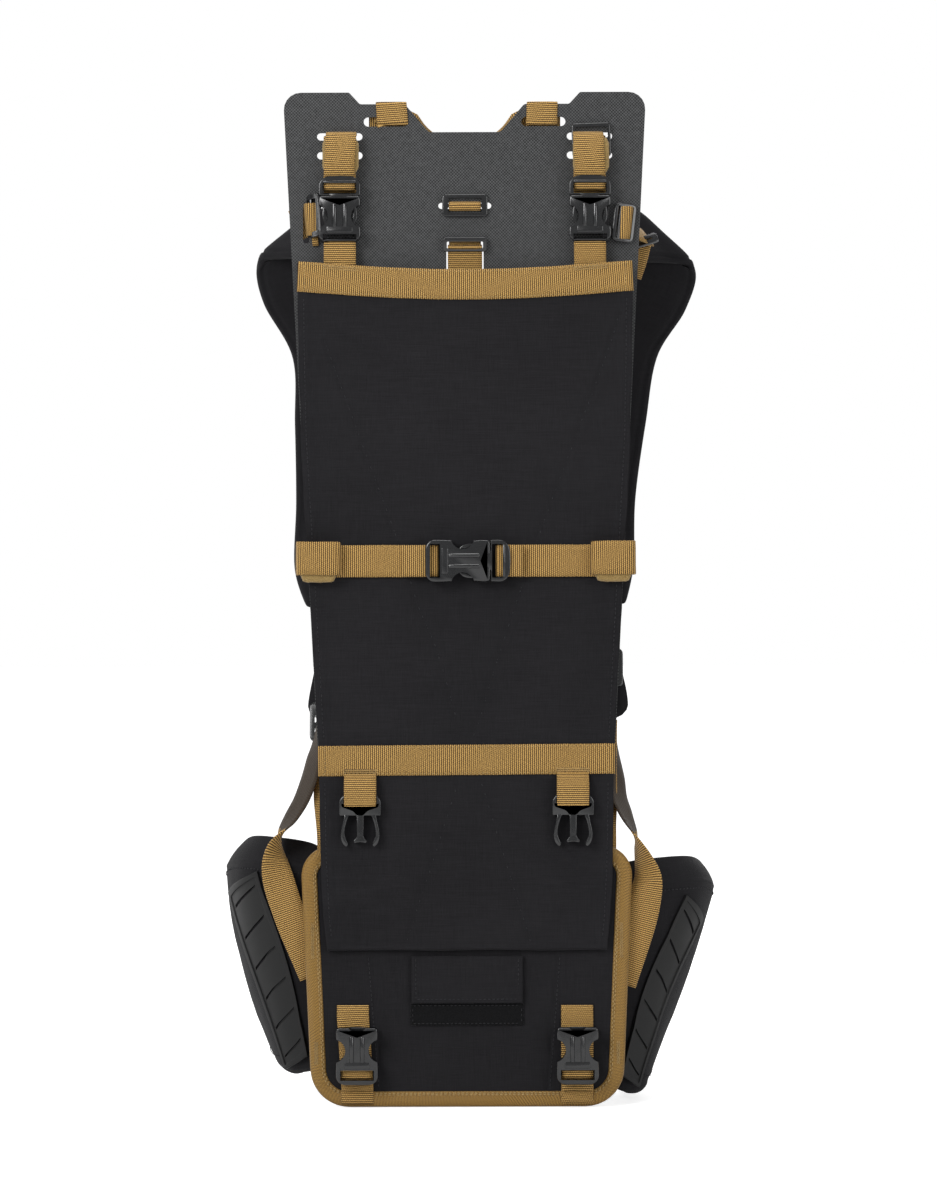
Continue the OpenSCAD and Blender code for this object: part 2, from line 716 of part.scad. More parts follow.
// ---------- Hip belt ----------

// How much lower the right wing hangs at its root
right_wing_drop = 17;
// Stations along a wing: x, y, z of its middle, height, lean outwards at the top on the left and on the
// right, thickness, drop
wing_stations = [
    [112, 19, 117, 160, 1, 1, 0.3, 1], [118, 20, 117, 176, 3, 3, 0.6, 1], [128, 23, 117, 184, 6, 6, 0.9, 1],
    [145, 33, 117, 190, 13, 15, 1, 1], [159, 55, 116, 192, 20, 28, 1, 1], [165, 92, 113, 178, 21, 31, 1, 1],
    [158, 132, 108, 158, 18, 26, 1, 0.8], [139, 172, 103, 132, 13, 17, 1, 0.5],
    [109, 206, 99, 112, 8, 9, 0.9, 0.2], [78, 226, 96, 92, 5, 5, 0.6, 0]
];
wing_bow_left = 9;
wing_bow_right = 3;

// How far a wing bulges outwards halfway up, most at its fifth station
function wing_bow(side, u) =
    (side > 0 ? wing_bow_right : wing_bow_left) * max(0, 1 - ((u - 5) / 3.6) * ((u - 5) / 3.6));

// A point at place u (in stations) and height v (-1 to 1) of a wing, a distance out of its middle surface
function wing_place(side, u, v, out) =
    let (
        s = spline(wing_stations, u),
        a = spline(wing_stations, max(u - 0.05, 0)),
        b = spline(wing_stations, min(u + 0.05, len(wing_stations) - 1)),
        d = unit([b.x - a.x, b.y - a.y, 0]),
        n = [d.y, -d.x, 0],
        lean = side > 0 ? s[5] : s[4],
        z = s.z - (side > 0 ? right_wing_drop * s[7] : 0)
    )
    [s.x, s.y, z + v * s[3] / 2] + n * (v * lean + wing_bow(side, u) * (1 - v * v) + out);

function wing_ring(side, u) =
    let (t = spline(wing_stations, u)[6] * wing_t / 2)
    [
        for (q = [[0.93, -1], [1, -0.6], [0.92, 0.3], [0.8, 1], [0.4, 1], [0, 1], [-0.45, 1], [-0.9, 1],
                  [-1, 0.2], [-1, -0.3], [-0.94, -1], [-0.5, -1], [0, -1], [0.5, -1]])
        wing_place(side, u, q.x, q.y * t)
    ];

wing_steps = 3;
module hip_wing(side) color(black_fabric) seated() on_side(side)
    loft([for (i = [0:wing_steps * (len(wing_stations) - 1)]) wing_ring(side, i / wing_steps)]);

module hip_wing_left() hip_wing(-1);
module hip_wing_right() hip_wing(1);

// Rubber grip panel: slants from the outer side at its top towards the root at its foot.
// Corners as station and height: top outer, top inner, foot inner, foot outer
grip_t = 3;
grip_corners_left = [[4.35, 0.54], [3.15, 0.72], [1.7, -0.86], [3, -0.94]];
grip_corners_right = [[4.25, 0.48], [3.45, 0.68], [1.4, -0.86], [2.45, -0.92]];

// A point of the panel, k from inner to outer edge and r from top to foot
function grip_place(side, k, r) =
    let (c = side > 0 ? grip_corners_right : grip_corners_left)
    (c[1] * (1 - k) + c[0] * k) * (1 - r) + (c[2] * (1 - k) + c[3] * k) * r;

module grip_panel(side) color(rubber) seated() on_side(side) {
    base = wing_t / 2 + 0.6;
    across = [0:1 / 6:1];
    loft([
        for (r = [0:0.125:1])
        concat(
            [for (k = across) let (q = grip_place(side, k, r)) wing_place(side, q.x, q.y, base)],
            [for (k = [1:-1 / 6:-0.001]) let (q = grip_place(side, k, r))
                wing_place(side, q.x, q.y, base + grip_t)]
        )
    ]);
}

module grip_panel_left() grip_panel(-1);
module grip_panel_right() grip_panel(1);

belt_y = 238;
belt_z = 96;
belt_socket_x = 16;
belt_plug_x = 30;
belt_socket_body = 30;
belt_start = [[77.4, 226.4], [69, 231.6]];

// Webbing that turns round the bar of a sewn socket, whose mouth is at x from the middle
function socket_leg(x, body, y) =
    let (end = x + body + 3 + bar_room - leg_offset)
    [[end + 12, y - bar_y - leg_offset], [end, y - bar_y - leg_offset], [end, y - bar_y + leg_offset],
     [end + 12, y - bar_y + leg_offset]];

// Height of the webbing that lies under a plug, from the plug's middle
under_plug = socket_half_t - 2.1 - plug_gap - 0.2 + 0.5 + lie_gap + web_t / 2;

module belt_strap_left() color(tan_webbing) seated() mirror([1, 0, 0])
    level(strip(concat(belt_start, socket_leg(belt_socket_x, belt_socket_body, belt_y)), web_t),
          belt_web, belt_z);

module belt_strap_right() color(tan_webbing) seated()
    level(strip(concat(belt_start, [[63, belt_y - under_plug], [belt_plug_x + 3, belt_y - under_plug]]),
                web_t), belt_web, belt_z);

// A buckle across the middle of the wearer's front, with its outer face away from the wearer
module across_front(x, y, z) translate([x, y, z]) rotate([0, 90, 0]) rotate([0, 0, 180]) children();

module belt_socket() color(black_plastic) seated()
    across_front(-belt_socket_x, belt_y, belt_z) socket(belt_web, belt_socket_body, false);

module belt_plug() color(black_plastic) seated()
    across_front(belt_plug_x, belt_y, belt_z) plug(belt_web, 6, true);

// ---------- Sternum strap ----------

sternum_web = 20;
sternum_mouth_x = 12;
// The strap lies on the wearer's face of the shoulder pads
sternum_y = 124 + shoulder_t / 2 + lie_gap + web_t / 2 + 0.2;
sternum_buckle_y = sternum_y + under_plug;

module sternum_strap_left() color(tan_webbing) seated() mirror([1, 0, 0])
    level(strip(concat([[118, sternum_y], [52, sternum_y]],
                       socket_leg(-sternum_mouth_x, 28, sternum_buckle_y)), web_t), sternum_web, sternum_z);

module sternum_strap_right() color(tan_webbing) seated()
    level(strip([[122, sternum_y], [sternum_mouth_x + 4, sternum_y]], web_t), sternum_web, sternum_z);

module sternum_socket() color(black_plastic) seated()
    across_front(sternum_mouth_x, sternum_buckle_y, sternum_z) socket(sternum_web, 28, false);

module sternum_plug() color(black_plastic) seated()
    across_front(sternum_mouth_x, sternum_buckle_y, sternum_z) plug(sternum_web, 4.2, true);

frame_sheet();
haul_handle();
handle_loops();
top_straps();
triglides();
frame_ladder_locks();
top_plug_left();
top_plug_right();
top_tail_left();
top_tail_right();
load_panel();
load_panel_top_bar();
load_panel_lower_bar();
load_panel_anchor();
top_tabs();
top_sockets();
lower_tabs();
lower_plug_left();
lower_plug_right();
compression_anchors();
compression_strap_left();
compression_strap_right();
compression_tail_left();
compression_tail_right();
compression_socket();
compression_plug();
compression_plug_loop();
lower_panel();
lower_panel_binding();
pocket_flap();
flap_loop_strip();
base_webbing();
base_socket_left();
base_socket_right();
torso_strap();
lifter_anchors();
lifter_strap_left();
lifter_strap_right();
yoke_pad();
back_pad();
lumbar_pad();
shoulder_pad_left();
shoulder_pad_right();
shoulder_lock_left();
shoulder_lock_right();
lower_strap_left();
lower_strap_right();
strap_tails();
hip_wing_left();
hip_wing_right();
grip_panel_left();
grip_panel_right();
belt_strap_left();
belt_strap_right();
belt_socket();
belt_plug();
sternum_strap_left();
sternum_strap_right();
sternum_socket();
sternum_plug();
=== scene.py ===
import math
from itertools import accumulate

import bpy
from mathutils import Matrix, Vector, noise


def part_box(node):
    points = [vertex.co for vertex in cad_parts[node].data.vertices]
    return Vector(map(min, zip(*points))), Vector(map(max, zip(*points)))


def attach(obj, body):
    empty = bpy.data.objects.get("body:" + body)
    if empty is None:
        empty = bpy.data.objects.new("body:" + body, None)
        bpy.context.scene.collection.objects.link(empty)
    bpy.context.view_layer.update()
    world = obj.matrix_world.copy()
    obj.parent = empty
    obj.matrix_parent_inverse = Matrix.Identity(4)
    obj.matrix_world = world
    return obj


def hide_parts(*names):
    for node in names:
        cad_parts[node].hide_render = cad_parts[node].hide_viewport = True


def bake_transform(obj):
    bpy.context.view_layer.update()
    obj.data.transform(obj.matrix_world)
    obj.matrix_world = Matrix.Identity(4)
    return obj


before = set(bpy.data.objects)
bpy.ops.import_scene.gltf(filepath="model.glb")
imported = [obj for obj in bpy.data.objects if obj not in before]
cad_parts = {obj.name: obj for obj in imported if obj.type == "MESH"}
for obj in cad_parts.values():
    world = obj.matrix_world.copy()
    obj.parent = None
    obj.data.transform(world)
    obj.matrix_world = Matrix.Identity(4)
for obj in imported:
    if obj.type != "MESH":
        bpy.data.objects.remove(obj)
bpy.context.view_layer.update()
scene = bpy.context.scene

mm = 0.001
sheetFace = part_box("frame_sheet")[0].y            # the load side of the sheet
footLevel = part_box("lower_panel_binding")[0].z    # the foot of the lower panel
mainWeb, beltWeb, sternumWeb = 25.4, 38.0, 20.0   # widths of webbing
bothSides = (("Left", -1), ("Right", 1))
acrossX, acrossZ = (1, 0, 0), (0, 0, 1)


def at(x, y, z):
    # millimetres from the middle, the sheet's face and the foot of the pack
    return Vector((x * mm, sheetFace + y * mm, footLevel + z * mm))


def span(node):
    # the lowest and highest corner of a node and its middle, in the same millimetres
    low, high = [Vector((p.x, p.y - sheetFace, p.z - footLevel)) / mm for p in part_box(node)]
    return low, high, (low + high) / 2


def hexColour(code):
    parts = [int(code[i:i + 2], 16) / 255 for i in (1, 3, 5)]
    return tuple(c / 12.92 if c <= 0.04045 else ((c + 0.055) / 1.055) ** 2.4 for c in parts) + (1.0,)


def mix(a, b, t):
    return a + (b - a) * t


def smooth(a, b, x):
    t = min(max((x - a) / (b - a), 0.0), 1.0)
    return t * t * (3 - 2 * t)


def bell(x, width):
    return math.exp(-(x / width) ** 2)


def between(table, z):
    # straight between the rows of a table of (key, value)
    if z <= table[0][0]:
        return table[0][1]
    for (z0, v0), (z1, v1) in zip(table, table[1:]):
        if z <= z1:
            return mix(v0, v1, (z - z0) / (z1 - z0))
    return table[-1][1]


def wobble(x, y, z, size):
    return noise.noise(Vector((x, y, z)) / size)


def runLengths(points, measure=math.dist):
    return [0.0, *accumulate(measure(a, b) for a, b in zip(points, points[1:]))]


def addNode(tree, made, key, kind, values):
    # kind may name an operation too; a value is a setting, a number or colour of an input, or the node (and
    # output) that feeds it
    kind, _, operation = kind.partition(" ")
    node = tree.nodes.new("ShaderNode" + kind)
    if operation:
        node.operation = operation
    for slot, value in values.items():
        source, _, plug = value.partition(".") if isinstance(value, str) else ("", "", "")
        if source in made:
            tree.links.new(made[source].outputs[int(plug) if plug.isdigit() else plug or 0], node.inputs[slot])
        elif slot == "stops":
            for i, (place, code) in enumerate(value):
                stop = node.color_ramp.elements[i] if i < 2 else node.color_ramp.elements.new(place)
                stop.position, stop.color = place, hexColour(code)
        elif isinstance(slot, int) or slot in node.inputs:
            node.inputs[slot].default_value = hexColour(value) if isinstance(value, str) else value
        else:
            setattr(node, slot, value)
    made[key] = node


def growTree(owner, steps):
    owner.use_nodes = True
    owner.node_tree.nodes.clear()
    made = {}
    for step in steps:
        addNode(owner.node_tree, made, *step)
    return owner


def makeFinish(name, steps, values, colour="colour.2"):
    shader = {"Base Color": colour, "Normal": "bump", **values}
    return growTree(bpy.data.materials.new(name), steps + [
        ("shader", "BsdfPrincipled", shader), ("out", "OutputMaterial", {"Surface": "shader"})])


def deselect():
    if bpy.context.object and bpy.context.object.mode != "OBJECT":
        bpy.ops.object.mode_set(mode="OBJECT")
    bpy.ops.object.select_all(action="DESELECT")


def choose(piece):
    deselect()
    piece.select_set(True)
    bpy.context.view_layer.objects.active = piece


def applyAll(piece):
    choose(piece)
    for modifier in list(piece.modifiers):
        bpy.ops.object.modifier_apply(modifier=modifier.name)


def shadeSmooth(piece, angle):
    choose(piece)
    bpy.ops.object.shade_smooth_by_angle(angle=math.radians(angle))


def recalcNormals(piece, weld=0):
    choose(piece)
    bpy.ops.object.mode_set(mode="EDIT")
    bpy.ops.mesh.select_all(action="SELECT")
    if weld:
        bpy.ops.mesh.remove_doubles(threshold=weld)
    bpy.ops.mesh.normals_make_consistent(inside=False)
    bpy.ops.object.mode_set(mode="OBJECT")


def thicken(piece, thickness, offset=0):
    shell = piece.modifiers.new("cloth", "SOLIDIFY")
    shell.thickness, shell.offset = thickness * mm, offset
    applyAll(piece)


def roundEdges(piece, width, segments, angle=40):
    rounder = piece.modifiers.new("rounded edges", "BEVEL")
    rounder.width, rounder.segments = width, segments
    rounder.limit_method, rounder.angle_limit = "ANGLE", math.radians(angle)
    applyAll(piece)


def joinPieces(pieces, name):
    choose(pieces[0])
    for piece in pieces[1:]:
        piece.select_set(True)
    if len(pieces) > 1:
        bpy.ops.object.join()
    pieces[0].name = pieces[0].data.name = name
    return pieces[0]


def dress(piece, finish, angle):
    piece.data.materials.clear()
    piece.data.materials.append(finish)
    shadeSmooth(piece, angle)
    return piece


def meshPiece(name, points, faces, material, uvs=None):
    mesh = bpy.data.meshes.new(name)
    mesh.from_pydata(points, [], faces)
    if uvs:
        layer = mesh.uv_layers.new(name="surface")
        for loop in mesh.loops:
            layer.data[loop.index].uv = uvs[loop.index]
    piece = bpy.data.objects.new(name, mesh)
    scene.collection.objects.link(piece)
    mesh.materials.append(material)
    mesh.shade_smooth()
    return piece


def settle(piece, body, *nodes, slot="tan_webbing", fill=None):
    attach(piece, body)
    if nodes:
        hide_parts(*nodes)
    return piece


print("frame loaded:", len(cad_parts), "nodes")


def wave(key, socket, turn, sway=0.0):
    # a sine along one direction of a surface
    return [(key + "Turn", "Math MULTIPLY_ADD", {0: socket, 1: turn, 2: sway}),
            (key, "Math SINE", {0: key + "Turn"})]


def webbingFinish(name, look):
    # nylon webbing: cross ribs with small knuckles of warp yarn; the colour follows their height, with painted
    # shade in the gaps and a painted highlight on the crests
    turn, depth = 2 * math.pi / mm, look["yarnDepth"]
    return makeFinish(name, [
        ("uv", "UVMap", {"uv_map": "surface"}),
        ("sway", "TexNoise", {"Scale": 180.0, "Detail": 2.0, "Vector": "uv"}),
        ("parts", "SeparateXYZ", {"Vector": "uv"}),
        ("drift", "Math MULTIPLY", {0: "sway", 1: look["drift"]}),
        *wave("along", "parts.X", turn / look["ribPitch"], "drift"),
        ("rib", "Math MULTIPLY_ADD", {0: "along", 1: 0.5, 2: 0.5}),
        ("turns", "Math MULTIPLY", {0: "alongTurn", 1: 0.5 / math.pi}),
        ("row", "Math FLOOR", {0: "turns"}),
        ("shift", "Math MULTIPLY", {0: "row", 1: math.pi}),
        *wave("across", "parts.Y", turn / look["yarnPitch"], "shift"),
        ("yarn", "Math MULTIPLY_ADD", {0: "across", 1: 0.5 * depth, 2: 0.5 * depth}),
        ("height", "Math MULTIPLY_ADD", {0: "rib", 1: 1 - depth, 2: "yarn"}),
        ("patches", "TexNoise", {"Scale": 900.0, "Detail": 3.0, "Vector": "uv"}),
        ("wear", "Math MULTIPLY_ADD", {0: "patches", 1: 0.5, 2: -0.25}),
        ("tone", "Math ADD", {"use_clamp": True, 0: "height", 1: "wear"}),
        # gap: painted shade between the ribs; crest: painted highlight on them; body: the webbing's own colour
        ("colour", "ValToRGB", {
            "Fac": "tone", "stops": ((0.12, look["gap"]), (0.85, look["crest"]), (0.45, look["body"]))}),
        ("bump", "Bump", {"Strength": look["bump"], "Distance": 0.4 * mm, "Height": "height"})],
        {"Roughness": look["rough"], "Specular IOR Level": 0.35, "Sheen Weight": 0.08}, "colour")


# gap and crest are the painted shade and painted highlight of the ribs
webbingLook = {"ribPitch": 1.6, "yarnPitch": 1.5, "yarnDepth": 0.3, "drift": 1.4, "bump": 0.8, "rough": 0.68,
               "gap": "#1C1104", "body": "#86632B", "crest": "#D8AD63"}
tapeLook = {"ribPitch": 1.25, "yarnPitch": 2.4, "yarnDepth": 0.25, "drift": 2.6, "bump": 0.45, "rough": 0.5,
            "gap": "#4A3413", "body": "#86652B", "crest": "#B48C45"}
# a darker copy of the webbing colours: painted shade, not a different cloth
paintedShadeLook = {**webbingLook, "gap": "#0E0802", "body": "#2A1B09", "crest": "#44300F"}
webbingTan = webbingFinish("coyoteNylonWebbing", webbingLook)
webbingPaintedShade = webbingFinish("coyoteNylonWebbingPaintedShade", paintedShadeLook)    # the same webbing darkened: painted shade for the side of a twisted tail that faces away from the light
tapeTan = webbingFinish("coyoteGrosgrainTape", tapeLook)           # finer ribs and a softer sheen


def clothFinish(name, look, mapped):
    # plain-woven nylon: a fine grid of yarns, a few thicker ones, and a soft unevenness of the dyeing; the colour
    # also darkens in the weave's hollows as painted shade
    turn = 2 * math.pi / mm / look["yarn"]
    place, second = ("place", "parts.Y") if mapped else ("place.Object", "parts.Z")
    stretches = ((60, 2600, 1), (2600, 60, 1)) if mapped else ((60, 60, 2600), (2600, 2600, 60))
    return makeFinish(name, [
        ("place", "UVMap", {"uv_map": "surface"}) if mapped else ("place", "TexCoord", {}),
        ("parts", "SeparateXYZ", {"Vector": place}),
        *wave("warp", "parts.X", turn), *wave("weft", second, turn),
        ("checks", "Math MULTIPLY", {0: "warp", 1: "weft"}),
        ("weave", "Math MULTIPLY_ADD", {0: "checks", 1: 0.5, 2: 0.5}),
        ("warpPlace", "Mapping", {"Scale": stretches[0], "Vector": place}),
        ("warpSlub", "TexNoise", {"Scale": 1.0, "Detail": 2.0, "Vector": "warpPlace"}),
        ("weftPlace", "Mapping", {"Scale": stretches[1], "Vector": place}),
        ("weftSlub", "TexNoise", {"Scale": 1.0, "Detail": 2.0, "Vector": "weftPlace"}),
        ("slubs", "Math ADD", {0: "warpSlub", 1: "weftSlub"}),
        ("height", "Math MULTIPLY_ADD", {0: "weave", 1: look["weave"], 2: "slubs"}),
        ("clouds", "TexNoise", {"Scale": 14.0, "Detail": 3.0, "Vector": place}),
        # the height of the weave and its thicker yarns in the colour is painted shade in the hollows; the clouds
        # are a real unevenness of the dyeing
        ("dye", "Math MULTIPLY_ADD", {0: "clouds", 1: 0.6, 2: "height"}),
        ("tone", "MapRange", {"From Min": 0.9, "From Max": 2.1, "Value": "dye"}),
        ("colour", "ValToRGB", {"Fac": "tone", "stops": ((0.0, look["deep"]), (1.0, look["crest"]))}),
        ("bump", "Bump", {"Strength": look["bump"], "Distance": 0.3 * mm, "Height": "height"})],
        {"Roughness": look["rough"], "Specular IOR Level": look["gloss"], "Sheen Weight": look["sheen"],
         "Sheen Roughness": 0.5}, "colour")


# yarns of about 0.5 mm, drawn at 1.1 mm so that the weave still shows
clothLook = {"yarn": 1.1, "weave": 0.5, "bump": 0.5, "rough": 0.8, "gloss": 0.2, "sheen": 0.05,
             "deep": "#0B0A0D", "crest": "#232225"}
panelNylon = clothFinish("blackPackcloth", clothLook, False)
packclothUv = clothFinish("blackPackclothCut", clothLook,
                          True)    # the same cloth, its yarns along each cut piece


def carbonFinish():
    # plain-woven carbon tows under a satin resin: the two directions of fibre shine differently, and that shine
    # is painted into the colour, light on one direction of tows and dark on the other
    # warp: painted reflection, the tows that catch the light; weft: the tows turned away from it, painted dark as
    # shade
    look = {"tow": 1.25, "warp": "#545556", "weft": "#070708", "rough": 0.4, "coat": 0.3}
    turn = math.pi / mm / look["tow"]
    return makeFinish("satinCarbonWeave", [
        ("place", "TexCoord", {}),
        ("noise", "TexNoise", {"Scale": 20.0, "Detail": 1.0, "Vector": "place.Object"}),
        ("sway", "Math MULTIPLY", {0: "noise", 1: 0.9}),
        ("parts", "SeparateXYZ", {"Vector": "place.Object"}),
        *wave("warp", "parts.X", turn, "sway"), *wave("weft", "parts.Z", turn, "sway"),
        ("checks", "Math MULTIPLY", {0: "warp", 1: "weft"}),
        ("tows", "MapRange", {"From Min": -0.75, "From Max": 0.75, "Value": "checks"}),
        ("patches", "TexNoise", {"Scale": 260.0, "Detail": 4.0, "Vector": "place.Object"}),
        # random patches that strengthen or weaken the painted sheen
        ("lustre", "Math MULTIPLY_ADD", {0: "patches", 1: 0.7, 2: -0.35}),
        ("tone", "Math ADD", {"use_clamp": True, 0: "tows", 1: "lustre"}),
        ("colour", "Mix", {"data_type": "RGBA", 0: "tone", 6: look["weft"], 7: look["warp"]}),
        ("bump", "Bump", {"Strength": 0.25, "Distance": 0.2 * mm, "Height": "checks"})],
        {"Roughness": look["rough"], "Specular IOR Level": 0.4, "Coat Weight": look["coat"],
         "Coat Roughness": 0.35})


def mouldedFinish(name, look):
    # injection-moulded plastic or rubber: even colour, a fine spark texture and slightly uneven gloss
    return makeFinish(name, [
        ("place", "TexCoord", {}),
        ("grain", "TexNoise", {"Scale": look["grain"], "Detail": 4.0, "Vector": "place.Object"}),
        ("smear", "TexNoise", {"Scale": 70.0, "Detail": 3.0, "Vector": "place.Object"}),
        ("gloss", "MapRange", {"To Min": look["rough"] - 0.07, "To Max": look["rough"] + 0.09, "Value": "smear"}),
        ("colour", "Mix", {"data_type": "RGBA", 0: "smear", 6: look["deep"], 7: look["light"]}),
        ("bump", "Bump", {"Strength": look["bump"], "Distance": 0.2 * mm, "Height": "grain"})],
        {"Roughness": "gloss", "Specular IOR Level": look["spec"]})


def fibreFinish(name, fibre, sheen, deep, light):
    # brushed loop pile or twisted thread: soft fibres lying every way
    return makeFinish(name, [
        ("place", "TexCoord", {}),
        ("fibres", "TexNoise", {"Scale": fibre, "Detail": 6.0, "Distortion": 1.5, "Vector": "place.Object"}),
        ("tone", "MapRange", {"From Min": 0.3, "From Max": 0.7, "Value": "fibres"}),
        ("colour", "Mix", {"data_type": "RGBA", 0: "tone", 6: deep, 7: light}),
        ("bump", "Bump", {"Strength": 1.0, "Distance": 0.6 * mm, "Height": "fibres"})],
        {"Roughness": 0.9, "Specular IOR Level": 0.15, "Sheen Weight": sheen})


def spacerFinish():
    # knitted spacer mesh: rows of small open holes over foam, with painted shade darkening the holes
    look = {"pitch": 3.2, "deep": "#0B0B0D", "rim": "#2A2A2E"}
    pitch = look["pitch"] * mm
    return makeFinish("blackSpacerMesh", [
        ("uv", "UVMap", {"uv_map": "surface"}),
        ("scaled", "Mapping", {"Scale": (1 / pitch, 0.8 / pitch, 1.0), "Vector": "uv"}),
        ("cells", "TexVoronoi",
         {"voronoi_dimensions": "2D", "Scale": 1.0, "Randomness": 0.12, "Vector": "scaled"}),
        ("hole", "MapRange", {"From Min": 0.18, "From Max": 0.42, "Value": "cells.Distance"}),
        # deep: painted shade in the holes; rim: the mesh's own colour
        ("colour", "Mix", {"data_type": "RGBA", 0: "hole", 6: look["deep"], 7: look["rim"]}),
        ("bump", "Bump", {"Strength": 0.9, "Distance": 0.7 * mm, "Height": "hole"})],
        {"Roughness": 0.85, "Specular IOR Level": 0.2})


carbonWeave = carbonFinish()
acetal = mouldedFinish("blackAcetal", {"grain": 900.0, "rough": 0.2, "bump": 0.05, "spec": 1.0,
                                       "deep": "#0D0E10", "light": "#17181A"})
rubber = mouldedFinish("blackMouldedRubber", {"grain": 1400.0, "rough": 0.52, "bump": 0.3, "spec": 0.4,
                                              "deep": "#101011", "light": "#1B1B1B"})
feltTan = fibreFinish("coyoteLoopPile", 1300.0, 0.3, "#7D6234", "#BCA067")
feltBlack = fibreFinish("blackLoopPile", 1100.0, 0.1, "#050506", "#161618")
threadTan = fibreFinish("coyoteThread", 2500.0, 0.1, "#8A6A34", "#DABC84")
threadBlack = fibreFinish("blackThread", 2500.0, 0.1, "#0A0A0B", "#3E3E42")
spacerMesh = spacerFinish()
print("finishes made")


def roundCorner(a, b, c, radius):
    a, b, c = Vector(a), Vector(b), Vector(c)
    reach = min(radius, (a - b).length * 0.49, (c - b).length * 0.49)
    p, q = b + (a - b).normalized() * reach, b + (c - b).normalized() * reach
    return [p * (1 - t) ** 2 + b * 2 * t * (1 - t) + q * t ** 2 for t in (k / 5 for k in range(6))]


def bendPath(points, radius):
    made = [Vector(points[0])]
    for a, b, c in zip(points, points[1:], points[2:]):
        made += roundCorner(a, b, c, radius)
    return made + [Vector(points[-1])]


def fillIn(points, step):
    made = [points[0]]
    for a, b in zip(points, points[1:]):
        count = max(1, math.ceil((b - a).length / step))
        made += [a.lerp(b, (k + 1) / count) for k in range(count)]
    return [p for i, p in enumerate(made) if i == 0 or (p - made[i - 1]).length > 0.02]


def curve(p, q, r, s, t):
    # a smooth curve from q to r, with p before and s after them
    return [0.5 * (2 * b + (c - a) * t + (2 * a - 5 * b + 4 * c - d) * t * t + (3 * b - a - 3 * c + d) * t ** 3)
            for a, b, c, d in zip(p, q, r, s)]


def splinePath(points, step):
    # a smooth line through the points (any number of values each), with a row about every step
    rows = [list(p) for p in points]
    before, after = [[2 * a - b for a, b in zip(end, inner)] for end, inner in (rows[:2], rows[:-3:-1])]
    rows = [before] + rows + [after]
    made = []
    for p, q, r, s in zip(rows, rows[1:], rows[2:], rows[3:]):
        count = max(1, round(math.dist(q[:3], r[:3]) / step))
        made += [curve(p, q, r, s, k / count) for k in range(count)]
    return made + [rows[-2]]


def spline(rows, u):
    # the values of a table at station u
    i = min(max(int(u), 0), len(rows) - 2)
    return curve(rows[max(i - 1, 0)], rows[i], rows[i + 1], rows[min(i + 2, len(rows) - 1)], u - i)


def skin(name, rows, finish, uvs=None, capped=False, wrapped=False, weld=0):
    # a surface through rows of equally many points in millimetres; UV in metres
    m, n = len(rows), len(rows[0])
    uvs = uvs or (lambda r, c: (rows[r][c % n][0] * mm, rows[r][c % n][2] * mm))
    faces, loops = [], []
    for i in range(m - 1):
        for j in range(n if wrapped else n - 1):
            corners = ((i, j), (i, j + 1), (i + 1, j + 1), (i + 1, j))
            faces.append([r * n + c % n for r, c in corners])
            loops += [uvs(r, c) for r, c in corners]
    for row, order in ((0, range(n - 1, -1, -1)), (m - 1, range(n))) if capped else ():
        faces.append([row * n + j for j in order])
        loops += [uvs(row, j) for j in order]
    piece = meshPiece(name, [at(*p) for row in rows for p in row], faces, finish, loops)
    recalcNormals(piece, weld)
    return piece


strapRing = [(-1, 0), (-0.965, 0.8), (-0.6, 1), (0, 1), (0.6, 1), (0.965, 0.8),
             (1, 0), (0.965, -0.8), (0.6, -1), (0, -1), (-0.6, -1), (-0.965, -0.8)]


def strap(name, path, width, thick=1.5, side=acrossX, sides=None, widths=None, radius=2.5, finish=webbingTan,
          wave=0.25, step=6):
    # webbing along a path in millimetres, bent at its corners by the radius; its UV map starts at a different
    # place for each name, so that no two straps show the same patches
    line = fillIn(bendPath(path, radius), step) if radius else [Vector(p) for p in path]
    count = len(line)
    sides = sides or [side] * count
    halves = [w / 2 for w in widths or [width] * count]
    start = (sum(ord(c) for c in name) % 17) * 0.013
    lengths = runLengths(line)
    rows = []
    for i, p in enumerate(line):
        direction = (line[min(i + 1, count - 1)] - line[max(i - 1, 0)]).normalized()
        across = Vector(sides[i])
        across = (across - direction * across.dot(direction)).normalized()
        normal = direction.cross(across)
        lift = wobble(lengths[i], halves[i], start * 900, 21) * wave
        edges = [wobble(lengths[i], a * 40, start * 900, 16) * wave * 0.5 * abs(a) for a, b in strapRing]
        rows.append([p + across * (a * halves[i] + edge) + normal * (b * thick / 2 + lift)
                     for (a, b), edge in zip(strapRing, edges)])
    return skin(name, rows, finish, lambda r, c: (lengths[r] * mm + start, strapRing[c % 12][0] * halves[r] * mm),
                capped=True, wrapped=True)


def lay(name, path, width, body, *nodes, **shape):
    return settle(strap(name, path, width, **shape), body, *nodes)


